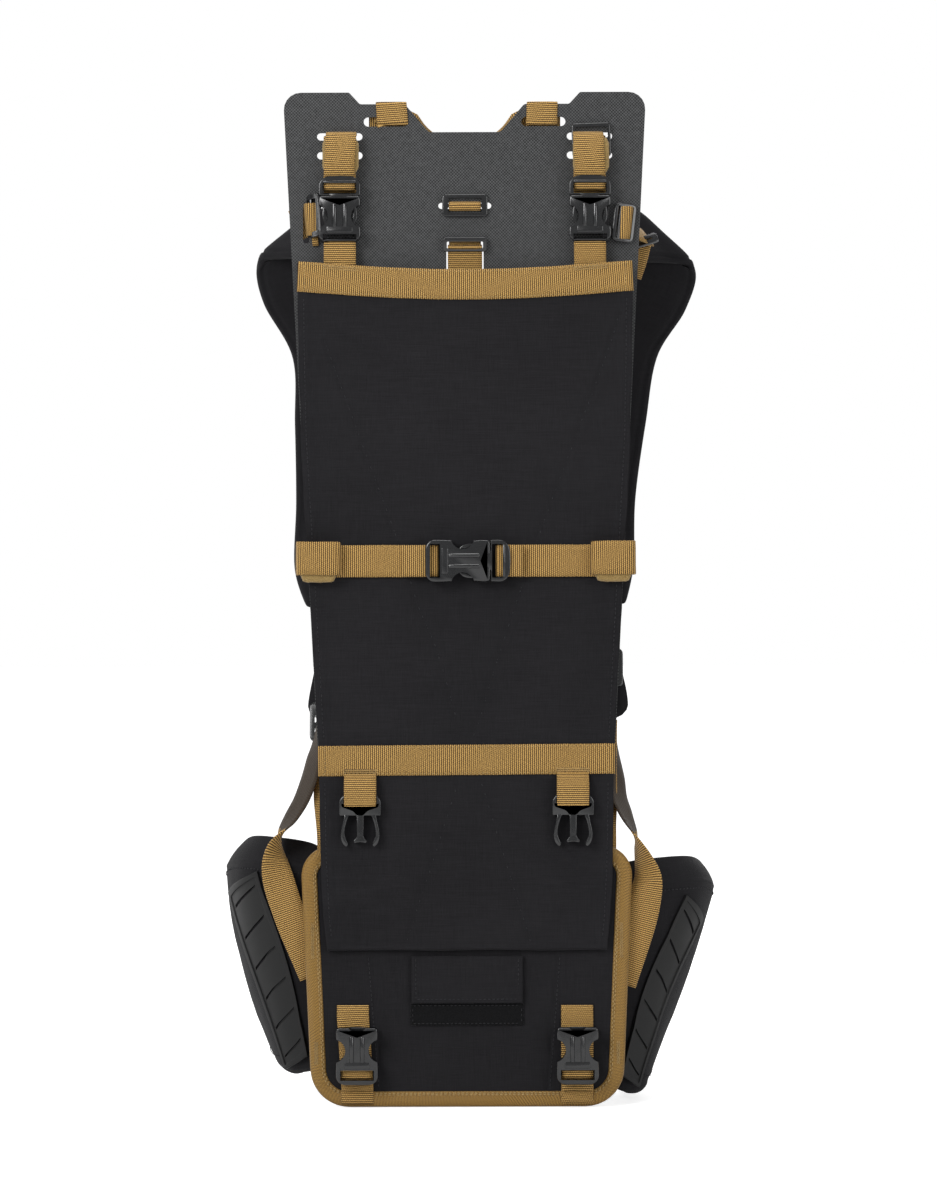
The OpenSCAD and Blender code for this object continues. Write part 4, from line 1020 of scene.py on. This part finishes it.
def lowerFront(x, z):
    y = -8.0
    for line in lowerSeams:
        gap = nearLine(x, z, line)
        y += 0.7 * bell(gap, 1.1) - 0.2 * bell(gap - 3.5, 2.2)
    return y - 0.5 * wobble(x, 6, z, 40) - 0.2 * wobble(x, 1, z, 14)


def makeLowerPanel():
    rows = []
    for z in [5 + 197 * k / 84 for k in range(85)]:
        line = [mix(-1, 1, j / 110) * (lowerHalf(z) - 5) for j in range(111)]
        rows.append([(x, lowerFront(x, z) + 0.4 * smooth(14, 5, lowerLook["halfTop"] - abs(x)), z) for x in line])
    board = skin("lowerPanelCloth", rows, panelNylon)
    thicken(board, lowerLook["board"], -1 if board.data.polygons[100].normal.y < 0 else 1)
    trim = outlinePlate("trim", denseOutline(3.2, 220)[0], -30, 30)
    trim.data.transform(Matrix.Scale(mm, 4))
    trim.data.transform(Matrix.Translation(at(0, 0, 0)))
    carve(board, [trim], "INTERSECT")
    shadeSmooth(board, 35)
    settle(board, "pack", "lower_panel", slot="black_fabric", fill=0.9)
    rows = []
    for (top, _), (foot, _) in lowerSeams:
        line = [(mix(top, foot, k / 24) + math.copysign(2.3, top), 119 - 4.3 * k) for k in range(25)]
        rows.append([(x, lowerFront(x, z) - 0.05, z) for x, z in line])
    stitches("lowerPanelThread", rows, "pack", threadBlack)

    # the binding: grosgrain folded over the edge, puckered by its rows of stitching
    count = 330
    outlines = [denseOutline(inset, count)[0] for inset, y in bindingSection]
    total, widths = denseOutline(0, count)[1], runLengths(bindingSection)
    rings = []
    for k in range(count + 1):
        run, ring = total * k / count, []
        for i, (inset, y) in enumerate(bindingSection):
            x, z = outlines[i][k % count]
            pucker = wobble(run, i * 0.4, 0, 5.5) * 0.3 + math.sin(run / 3.2 * math.tau) * 0.1
            ring.append((x, y - pucker * (1 if y < -7 else 0.2) * (0.9 if inset > 2 else 0.4), z))
        rings.append(ring)
    binding = skin("lowerPanelBinding", rings, tapeTan, lambda r, c: (total * r / count * mm, widths[c] * mm),
                   weld=0.00001)
    thicken(binding, lowerLook["tape"], -1)
    binding.data.shade_smooth()
    recalcNormals(binding)
    settle(binding, "pack", "lower_panel_binding")
    rows = []
    for inset, y in ((9.9, -9.3), (11.2, -9.2)):
        line = denseOutline(inset, 260)[0]
        rows.append([(x, y, z) for x, z in line + line[:1]])
    stitches("bindingThread", rows, "pack", threadTan, size=(2.2, 0.5), lift=0.25)
    rows = [[(s * (lowerHalf(low) - 5.4 - 1.4 * k) + (0.55 if q % 2 else -0.55), -9.5, mix(low, high, q / 30))
             for q in range(31)]
            for s in (-1, 1) for low, high in ((118, 146), (34, 52)) for k in range(2)]
    stitches("bindingBartacks", rows, "pack", threadTan, size=(0.9, 0.32), gap=0.15, lift=0.05)

    # pocket flap with its hem, and the strip of loop pile under it
    half = lowerLook["flapHalf"]
    line = [-half + 2 * half * j / 60 for j in range(61)]
    rows = []
    for z in [82.4 + 37.2 * k / 27 for k in range(28)]:
        slope = -10.1 - 0.6 * smooth(100, 84, z)
        rows.append([(x, slope - 0.5 * wobble(x, 2, z, 24) - 0.4 * smooth(6, 3, min(half - abs(x), z - 82.4)), z)
                     for x in line])
    flap = skin("pocketFlap", rows, panelNylon)
    thicken(flap, 1.6)
    flap.data.shade_smooth()
    settle(flap, "pocket_flap", "pocket_flap", slot="black_fabric")
    rows = [[(s * 40.6, -11.3, z) for z in range(85, 119, 3)] for s in (-1, 1)]
    rows.append([(x, -11.6, 85.6) for x in range(-40, 41, 4)])
    stitches("pocketFlapThread", rows, "pocket_flap", threadBlack, size=(2.2, 0.36), lift=0.1)
    half = lowerLook["stripHalf"]
    line = [-half + 2 * half * j / 150 for j in range(151)]
    rows = [[(x, -9.1 - 0.5 * wobble(x * 1.1, 0, z * 1.1, 1), z) for x in line]
            for z in [65 + 17 * k / 29 for k in range(30)]]
    strip = skin("loopStrip", rows, feltBlack)
    thicken(strip, 1.0)
    settle(strip, "pack", "flap_loop_strip", slot="black_fabric")
    rows = [[(x, -9.9, z) for x in range(-43, 44, 4)] for z in (66.4, 80.6)]
    rows += [[(s * 43, -9.9, z) for z in range(67, 81, 3)] for s in (-1, 1)]
    stitches("loopStripThread", rows, "pack", threadBlack, size=(2.0, 0.34), lift=0.1)


makeLoadPanel()
makeBars()
makeLowerPanel()
print("panels sewn")

# stations along a wing: x, y, z, height, lean on the left and on the right, thickness, drop of the right one
wingStations = [(112, 19, 117, 160, 1, 1, 0.3, 1), (118, 20, 117, 176, 3, 3, 0.6, 1),
                (128, 23, 117, 184, 6, 6, 0.9, 1),
                (145, 33, 117, 190, 13, 15, 1, 1), (159, 55, 116, 192, 20, 28, 1, 1),
                (165, 92, 113, 178, 21, 31, 1, 1),
                (158, 132, 108, 158, 18, 26, 1, 0.8), (139, 172, 103, 132, 13, 17, 1, 0.5),
                (109, 206, 99, 112, 8, 9, 0.9, 0.2),
                (78, 226, 96, 92, 5, 5, 0.6, 0)]
wingLook = {"half": 10.0, "drop": 17.0, "bowLeft": 9.0, "bowRight": 3.0, "rows": 90, "last": 9}
# round a section: height from -1 to 1, and how far out of the middle; the top is chamfered towards the wearer
wingSection = [(0.80, 1.0), (0.86, 0.66), (0.92, 0.22), (0.975, -0.3), (1.0, -0.62), (0.985, -0.86),
               (0.93, -0.98), (0.6, -1.02),
               (0, -1.05), (-0.6, -1.02), (-0.94, -0.98), (-0.99, -0.7), (-1.0, -0.2), (-0.985, 0.35),
               (-0.95, 0.75), (-0.88, 0.97),
               (-0.6, 1.04), (-0.2, 1.1), (0.2, 1.12), (0.55, 1.1), (0.74, 1.05)]


def onWing(s, u, v, out):
    # a point of the wing: u along it in stations, v its height from -1 to 1, out from its middle surface
    x, y, z, high, leanLeft, leanRight, thick, drop = spline(wingStations, u)
    ahead, behind = spline(wingStations, min(u + 0.03, 8.99)), spline(wingStations, max(u - 0.03, 0))
    dx, dy = ahead[0] - behind[0], ahead[1] - behind[1]
    size = math.hypot(dx, dy)
    bow = wingLook["bowRight" if s > 0 else "bowLeft"] * max(0, 1 - ((u - 5) / 3.6) ** 2) * (1 - v * v)
    q = v * (leanRight if s > 0 else leanLeft) + bow + out
    z -= wingLook["drop"] * drop if s > 0 else 0
    return (s * (x + dy / size * q), y - dx / size * q, z + v * high / 2)


def roundEnd(u, reach):
    # from 0 at the very end to 1 where the end's rounding is over
    return math.sqrt(max(0, 1 - (1 - min(u / reach, 1)) ** 2))


def makeWing(side, s):
    section = [p[:2] for p in splinePath([(v, q, 0) for v, q in wingSection + wingSection[:1]], 0.035)[:-1]]
    rows, body = [], "hip_wing_" + side.lower()
    for i in range(wingLook["rows"] + 1):
        u = wingLook["last"] * i / wingLook["rows"]
        thick = spline(wingStations, u)[6] * wingLook["half"]
        end = min(1, roundEnd(u, 0.35) + 0.12) * min(1, roundEnd(9 - u, 0.25) + 0.15)
        row = []
        for v, q in section:
            out = q * thick * end
            x, y, z = onWing(s, u, v, out)
            if q > 0.9:
                quilt = 0.9 * wobble(x, y, z, 34) + 0.3 * wobble(x + 50, y, z, 12)
                out += (quilt * 0.8 - 1.1 * bell(v - 0.765, 0.012) - 0.9 * bell(v + 0.87, 0.012)) * min(1, end)
            elif q < -0.9:
                out -= 0.8 * wobble(x, y, z + 70, 30)
            row.append(onWing(s, u, v, out))
        rows.append(row)
    lengths = runLengths([(v * 90, q * 10) for v, q in section + section[:1]])
    runs = runLengths([row[5] for row in rows])
    wing = skin("hipWing" + side, rows, packclothUv, lambda r, c: (runs[r] * mm, lengths[c] * mm), capped=True,
                wrapped=True)
    settle(wing, body, body, slot="black_fabric", fill=0.85)
    threads = [[onWing(s, u, v, q * spline(wingStations, u)[6] * wingLook["half"] + 0.35)
                for u in [0.5 + 8.2 * k / 110 for k in range(111)]]
               for v, q in ((0.735, 1.05), (-0.84, 1.0))]
    stitches("hipWingThread" + side, threads, body, threadBlack, size=(2.3, 0.4), gap=1.3)


# corners of a grip as stations and heights on the wing; slots as shares of its height; depths in metres
gripLook = {-1: ((4.35, 0.54), (3.15, 0.72), (1.70, -0.86), (3.00, -0.96)),
            1: ((4.25, 0.48), (3.45, 0.68), (1.40, -0.86), (2.45, -0.94)),
            "slots": [0.085 + 0.166 * k for k in range(6)], "slotHalf": 0.0072, "slant": 0.085, "out": 13.8,
            "field": -0.0009, "slotDeep": -0.0018, "thick": 2.6, "edge": 0.45}


def makeGrip(side, s):
    # moulded sheet: a grid is laid on the wing, its slots are pressed in and its border is left standing
    corners, slots, half = gripLook[s], gripLook["slots"], gripLook["slotHalf"]
    levels = {0.0, 0.008, 0.02, 0.03, 0.97, 0.98, 0.992, 1.0}
    for m in slots:
        levels |= {m - half * 1.7, m - half, m, m + half, m + half * 1.7}
    for k in range(61):
        if all(abs(k / 60 - m) > 0.012 for m in levels):
            levels.add(k / 60)
    levels = sorted(levels)
    widths = [0, 0.022, 0.05, 0.085, 0.11, 0.15, 0.2, 0.3, 0.4, 0.5, 0.6, 0.7, 0.8, 0.85, 0.89, 0.915, 0.95,
              0.978, 1]
    n = len(widths)
    deselect()
    bpy.ops.mesh.primitive_grid_add(x_subdivisions=n - 1, y_subdivisions=len(levels) - 1, size=1)
    grip = bpy.context.object
    grip.name = "gripPanel" + side
    for index, vertex in enumerate(grip.data.vertices):
        a, t = widths[index % n], levels[index // n]
        # the slots run down towards the outer edge; the two ends of the panel stay square
        tt = t + gripLook["slant"] * (a - 0.5) * min(1, min(t, 1 - t) * 9)
        u, v = [mix(mix(corners[1][i], corners[0][i], a), mix(corners[2][i], corners[3][i], a), tt)
                for i in (0, 1)]
        vertex.co = at(*onWing(s, u, v, gripLook["out"]))
    recalcNormals(grip)
    middle = grip.data.polygons[len(grip.data.polygons) // 2]
    if middle.normal.dot(at(*onWing(s, 3, -0.1, 20)) - at(*onWing(s, 3, -0.1, 0))) < 0:
        grip.data.flip_normals()
    # zones kept as material numbers while the sheet is pressed: border, field, slots
    grip.data.materials.clear()
    for zone in range(3):
        grip.data.materials.append(rubber)
    for face in grip.data.polygons:
        column, row = face.index % (n - 1), face.index // (n - 1)
        a, t = (widths[column] + widths[column + 1]) / 2, (levels[row] + levels[row + 1]) / 2
        inSlot = 0.15 < a < 0.85 and any(abs(t - m) < half for m in slots)
        face.material_index = 2 if inSlot else int(0.085 < a < 0.915 and 0.03 < t < 0.97)
    for zone, depth in ((1, gripLook["field"]), (2, gripLook["slotDeep"])):
        for item in list(grip.data.vertices) + list(grip.data.edges):
            item.select = False
        for face in grip.data.polygons:
            face.select = face.material_index >= zone and (zone == 1 or face.select)
        choose(grip)
        bpy.ops.object.mode_set(mode="EDIT")
        bpy.ops.mesh.select_mode(type="FACE")
        bpy.ops.mesh.extrude_region_shrink_fatten(TRANSFORM_OT_shrink_fatten={"value": depth})
        bpy.ops.object.mode_set(mode="OBJECT")
    for face in grip.data.polygons:
        face.material_index = 0
    thicken(grip, gripLook["thick"], -1)
    roundEdges(grip, gripLook["edge"] * mm, 2, 50)
    dress(grip, rubber, 45)
    settle(grip, "hip_wing_" + side.lower(), "grip_panel_" + side.lower(), slot="rubber")


for side, s in bothSides:
    makeWing(side, s)
    makeGrip(side, s)
print("hip wings padded")

shoulderLook = {"half": 6.5, "seam": 6.5, "rows": 150, "last": 11}
# along the middle of a strap: x, y, z, width, and the direction of its width; the straps fold over obliquely
shoulderStart = [(44, 21.8, 628, 40, 1, 0, 0), (50, 22, 645, 46, 1, 0.06, 0)]
shoulderRows = {
    -1: shoulderStart + [(64, 29, 664, 54, 1, 0, -0.1), (90, 50, 683, 64, 1, 0.1, -0.3),
                         (122, 72, 698, 72, 0.83, 0.15, -0.54),
                         (140, 87, 694, 72, 0.83, 0.2, -0.57), (131, 103, 655, 72, 0.93, 0.2, -0.3),
                         (106, 117, 603, 72, 1, 0.1, -0.05),
                         (104, 124, 545, 72, 1, 0, 0), (103, 119, 482, 72, 1, 0, 0), (105, 108, 428, 70, 1, 0, 0),
                         (104, 95, 396, 52, 1, 0, 0)],
    1: shoulderStart + [(66, 29, 664, 54, 1, 0, -0.1), (96, 51, 682, 64, 1, 0.1, -0.35),
                        (135, 76, 697, 72, 0.77, 0.15, -0.63),
                        (160, 88, 691, 72, 0.76, 0.2, -0.63), (148, 103, 653, 72, 0.9, 0.2, -0.4),
                        (122, 117, 605, 72, 1, 0.1, -0.1),
                        (112, 124, 547, 72, 1, 0, 0), (103, 119, 484, 72, 1, 0, 0), (102, 108, 430, 70, 1, 0, 0),
                        (104, 95, 398, 52, 1, 0, 0)]}


def shoulderAt(s, u):
    x, y, z, width, sx, sy, sz = spline(shoulderRows[s], u)
    return Vector((s * x, y, z)), width, Vector((s * sx, sy, sz)).normalized()


def makeShoulder(side, s):
    section = padSection((4.5, 2.6), 44)
    rows, last = [], shoulderLook["last"]
    for i in range(shoulderLook["rows"] + 1):
        u = last * i / shoulderLook["rows"]
        p, width, across = shoulderAt(s, u)
        along = shoulderAt(s, min(u + 0.04, last - 0.001))[0] - shoulderAt(s, max(u - 0.04, 0))[0]
        normal = along.normalized().cross(across).normalized()
        end = min(1, roundEnd(u, 0.3) * 0.9 + 0.1) * min(1, roundEnd(last - u, 0.25) * 0.9 + 0.1)
        row = []
        for c, q in section:
            w = c * width / 2 * mix(0.92, 1, end)
            seam = 1.3 * bell(abs(c) * width / 2 - (width / 2 - shoulderLook["seam"]), 1.1) * (1 if q > 0 else -1)
            puff = wobble(p.x + w, p.y, p.z, 30) * 0.9 * q
            out = q * shoulderLook["half"] * end - seam * end * min(1, abs(q) * 1.4) + puff
            row.append(p + across * w + normal * out)
        rows.append(row)
    runs = runLengths([row[0] for row in rows])
    lengths = runLengths([(c * 36, q * 6.5) for c, q in section + section[:1]])
    pad = skin("shoulderPad" + side, rows, packclothUv, lambda r, c: (runs[r] * mm, lengths[c] * mm), capped=True,
               wrapped=True)
    settle(pad, "shoulder_" + side.lower(), "shoulder_pad_" + side.lower(), slot="black_fabric", fill=0.75)


def roundedBox(cz, wide, high, radius, inset):
    w, h, r = wide / 2 - inset, high / 2 - inset, max(radius - inset, 3)
    made = []
    for qx, qz, start in ((1, -1, -90), (1, 1, 0), (-1, 1, 90), (-1, -1, 180)):
        for turn in [math.radians(start + 90 * k / 10) for k in range(11)]:
            made.append((qx * (w - r) + r * math.cos(turn), cz + qz * (h - r) + r * math.sin(turn)))
    fine = []
    for a, b in zip(made, made[1:] + made[:1]):
        parts = 14 if math.dist(a, b) > 12 else 1
        fine += [[mix(p, q, k / parts) for p, q in zip(a, b)] for k in range(parts)]
    return fine


def cushion(name, node, box, rear, front, bulge):
    # a pad that lies in X and Z, thickest inside and pinched at its seams
    rows, flat = [], roundedBox(*box, 0)
    middleX, middleZ = [sum(values) / len(flat) for values in zip(*flat)]

    def addRing(inset, y, scale=1.0):
        rows.append([(mix(middleX, x, scale), y + bulge * 0.5 * wobble(x * scale, y, z, 36),
                      mix(middleZ, z, scale))
                     for x, z in roundedBox(*box, inset)])
    for scale in (0.02, 0.35, 0.7, 0.93):
        addRing(4, rear + 0.3, scale)
    for inset, part in ((0.8, 0.06), (0.0, 0.3), (0.0, 0.62), (1.2, 0.84), (3.2, 0.95), (5.6, 0.96), (7.2, 0.88),
                        (8.0, 0.84),
                        (8.8, 0.88), (11, 0.97), (15, 1.03)):
        addRing(inset, mix(rear, front, part))
    for scale in (0.78, 0.6, 0.42, 0.25, 0.1, 0.02):
        addRing(15, front + bulge * (1 - scale * scale) * 0.8, scale)
    settle(skin(name, rows, spacerMesh, wrapped=True), "pack", node, slot="black_fabric", fill=0.8)


for side, s in bothSides:
    makeShoulder(side, s)
# middle height, width, height and corner radius; then the rear, the front and the bulge
cushion("backPad", "back_pad", (375, 130, 270, 24), 3.4, 17.3, 0.8)
cushion("yokePad", "yoke_pad", (600, 150, 76, 18), 5.2, 14.0, 0.6)
cushion("lumbarPad", "lumbar_pad", (115, 222, 168, 26), 3.4, 27.4, 1.2)
print("pads filled")


def bothBodies(piece, upper, start, end, *nodes):
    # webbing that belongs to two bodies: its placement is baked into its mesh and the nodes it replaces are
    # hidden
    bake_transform(piece)
    if nodes:
        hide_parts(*nodes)


def bandAlong(name, rows, width, mirror=1, wave=0.35, step=4.0, **shape):
    # rows of x, y, z and the direction of the width (X, if they name none), run through smoothly
    fine = splinePath([(*row, 1, 0, 0)[:6] for row in rows], step)
    return strap(name, [(mirror * p[0], p[1], p[2]) for p in fine], width, wave=wave, radius=0,
                 sides=[(mirror * p[3], p[4], p[5]) for p in fine], **shape)


# of each lifter lock: height, middle (x, y, z), turn, tilt
ringLook = {-1: (35, -119.5, -6.6, 706, -5, -58), 1: (31, 126, -4.6, 699.8, 7, 14)}


def makeRings():
    put(makeRing("triglideRight", 30.8, 27, 2.2, [(-10.6, -1.6), (1.6, 10.6)], 2.3, 3), "pack", 100.4, -3.1,
        765.5, (("Y", -2),), "triglides")
    put(makeRing("triglideCentre", 36, 17.7, 2.8, [(-6, -1.4), (1.4, 6)], 4.6, 3.4), "pack", 0, -2.3, 714)
    put(makeRing("torsoLock", 35, 11.5, 3.6, [(-3, 2.4)], 3.2, 2.4), "pack", 0, -4.6, 683, (("X", 12),),
        "frame_ladder_locks")
    for side, s in bothSides:
        tall, x, y, z, turn, tilt = ringLook[s]
        bar = makeBar(28, 1.8, (-3.4, 0, 0), (0, 0, 0))
        bar.data.materials.append(acetal)
        ring = joinPieces([makeRing("lifterLock" + side, 18, tall, 3.4, [(-13, 13)], 2.6, 5), bar],
                          "lifterLock" + side)
        put(ring, "pack", x, y, z, (("Y", turn), ("Z", tilt)))
        # the webbing comes out of the sheet, folds over the bar and goes back through it
        path = [(-4.5, 2), (-4, -5.4), (-1, -7.4), (3.6, -6.4), (6.4, -2.6), (6.6, 4.2)]
        down = 3 if s < 0 else 0
        path = [(x + a * s, b, z - down) for a, b in path] + [(s * 136, 9, 702 - down)]
        lay("lifterAnchor" + side, path, 26, "pack", "lifter_anchors", side=(0.1 * s, 0, 1), radius=2, step=2)
        if s < 0:
            path = [(-118.8, -2.2, 692), (-118.6, -3.2, 687), (-118.2, -1.4, 682.4)]
            lay("lifterEndLeft", path, 5, "pack", radius=1, step=2)
    path = [(4.05, 640), (4.05, 700), (4.05, 716.4), (-2.2, 716.6), (-4.6, 714), (-2.4, 710.4), (2.4, 711)]
    lay("torsoUpper", [(0, y, z) for y, z in path], 25.4, "pack", radius=1.6, step=2.5)
    path = [(-1.05, 640), (-1.05, 672), (-2.6, 680.2), (-6.2, 682.6), (-5.4, 679.4), (4.05, 678), (4.05, 614)]
    lay("torsoLower", [(0, y, z) for y, z in path], 27.2, "pack", "torso_strap", radius=1.8, step=2.5)


def makeLifters():
    left = [(133, 10, 702, 0, 0, 1), (136, 16, 701, 0, 0, 1), (137, 28, 700, 0, 0, 1), (134, 43, 698, 0, 0.1, 1)]
    right = [(130, 7, 700, 0, 0.3, 1), (136, 15, 695, 0, 0.8, 0.5), (142, 24, 692, 0, 0.87, 0.4),
             (146, 30, 690.5, 0, 0.87, 0.4)]
    for (side, s), rows, width in zip(bothSides, (left, right), (24.5, 20)):
        settle(bandAlong("lifterStrap" + side, rows, width, s), "lifter_" + side.lower(),
               "lifter_strap_" + side.lower())
    # on the right the strap ends in a small lock that is sewn to the pad by a triangle of webbing
    put(makeRing("lifterEndLock", 23, 8, 3.4, [(-0.7, 0.7)], 4.5, 2.4), "lifter_right", 142.5, 20, 686.8,
        (("X", -20), ("Y", -18)))
    rows = [(x, y, z, 0.93, 0.1, -0.36) for x, y, z in ((140, 29, 686), (136.5, 33, 672), (132.5, 38, 660))]
    settle(bandAlong("lifterTab", rows, 18), "shoulder_right")


twistRows = {-1: [(121, 60, 297, 0.1, 0.98, 0.1), (122, 50, 281, 0.3, 0.93, 0.2), (125, 38, 263, 0.42, 0.88, 0.1),
                  (130.5, 24, 245, 0.42, 0.88, 0.1), (138.5, 13, 230, 0.36, 0.92, 0.15),
                  (145.3, 6.8, 219, 0.2, 0.97, 0.1),
                  (149, 3, 210, -0.3, 0.95, 0.1), (151.5, 0.2, 201, -0.6, 0.75, -0.2),
                  (151.5, -1, 190, -0.82, 0.45, -0.25),
                  (147.2, -1.4, 172, -0.95, 0.1, -0.3), (137.2, -0.8, 143, -0.95, 0, -0.38),
                  (120.8, 1, 104, -0.93, 0, -0.38)],
             1: [(118, 60, 297, 0.15, 0.98, 0.1), (118.5, 50, 281, 0.25, 0.93, 0.2),
                 (119.5, 38, 262, 0.45, 0.85, 0.1),
                 (121, 26, 246, 0.42, 0.88, 0.1), (126, 15, 231, 0.3, 0.92, 0.15), (132, 7, 217, 0.12, 0.97, 0.1),
                 (135.5, 3.4, 207, -0.25, 0.95, 0.1), (140, 1, 195, -0.5, 0.8, -0.2),
                 (143.5, 0.2, 182, -0.75, 0.5, -0.2),
                 (142.2, -0.4, 168, -0.87, 0.2, -0.25), (136.8, 0, 143, -0.93, 0.05, -0.35),
                 (121.6, 1.6, 97, -0.93, 0, -0.36)]}
# of each lower strap: how far it leans out, the width of the tongue's end, and the middle of the shoulder lock
lowerStrapLook = {-1: (2.2, 33, (-109.6, 69, 303)), 1: (0.4, 39, (110, 79, 346))}


def makeLowerStraps():
    for side, s in bothSides:
        body, (lean, end, lock) = "lower_strap_" + side.lower(), lowerStrapLook[s]
        piece = bandAlong("twistedStrap" + side, twistRows[s], 25.4, s, wave=0.25, step=3)
        # one side of the tail is painted with shade, a darkened copy of the webbing: it faces the load above the
        # twist only
        piece.data.materials.append(webbingPaintedShade)
        x, y, z = twistRows[s][5][:3]
        # painted shade mask: the side of the webbing that faces the load above the twist
        for face in piece.data.polygons:
            face.material_index = int((face.center.z > at(0, 0, z).z) == (face.normal.y < 0.0))
        bothBodies(piece, body, (s * x, y - 2, z - 7), (s * x, y + 2, z + 9), body,
                   *(["strap_tails"] if s < 0 else []))
        rows = [(106, 4.2, 186), (106, 4.2, 206), (106 + lean * 0.4, 6, 222), (107 + lean, 20, 243),
                (107.4 + lean, 38, 262),
                (109, 67, 298), (109.5, 71.5, 305)]
        bothBodies(bandAlong("straightStrap" + side, rows, 25.4, s, wave=0.4), body, (s * 106, 5, 214),
                   (s * 106, 10, 231))
        # the pad's tongue and the ladder lock that both straps run through
        rows = [(104, 94, 399), (103.4, 90, 375), (106, 85, 348), (111, 80, 322), (113, 76, 303)]
        last = len(splinePath(rows, 4)) - 1
        widths = [mix(46, end,
                      smooth(0, 0.6, k / last)) * math.sqrt(max(0.03, 1 - max(0, (k / last - 0.86) / 0.14) ** 2))
                  for k in range(last + 1)]
        tongue = bandAlong("shoulderTongue" + side, rows, 40, s, thick=3.2, widths=widths, wave=0.5,
                           finish=packclothUv)
        settle(tongue, "shoulder_" + side.lower(), "shoulder_lock_" + side.lower(), slot="black_fabric")
        ring = makeRing("shoulderLock" + side, 34, 32, 5, [(-11.6, -5.6), (-1, 5)], 4, 5)
        put(ring, "shoulder_" + side.lower(), *lock, (("X", -15),))


# the belt's and the sternum strap's distance behind the sheet, and their heights
frontLook = {"beltY": 238.0, "beltZ": 96.0, "chestY": 131.75, "chestZ": 540.0}


def makeFrontStraps():
    # belt and sternum webbing, on the wearer's side
    y, flat = frontLook["beltY"], frontLook["chestY"]
    belts = ([(-92, 219), (-77.4, 226.4), (-69, 231.6), (-61.4, y - 3.05), (-52.4, y - 3.05), (-52.4, y + 1.65),
              (-63.4, y + 1.9)], [(92, 219), (77.4, 226.4), (69, 231.6), (63, y - 1.7), (32, y - 1.7)])
    chests = ([(-118, flat), (-52, flat), (-31, 134.2), (-22.4, 134.25), (-18.6, 134.25), (-18.6, 138.95),
               (-22.4, 138.95), (-32, 138.2)], [(122, flat), (16, flat)])
    for kind, paths, z, web, body, radius, wave in (
            ("belt", belts, frontLook["beltZ"], beltWeb, "hip_wing_", 3, 0.5),
            ("sternum", chests, frontLook["chestZ"], sternumWeb, "sternum_", 2.2, 0.4)):
        for (side, s), path in zip(bothSides, paths):
            lay(kind + "Strap" + side, [(a, b, z) for a, b in path], web, body + side.lower(),
                kind + "_strap_" + side.lower(), side=acrossZ, radius=radius, wave=wave)


makeRings()
makeLifters()
makeLowerStraps()
makeFrontStraps()
print("rings and long straps placed")
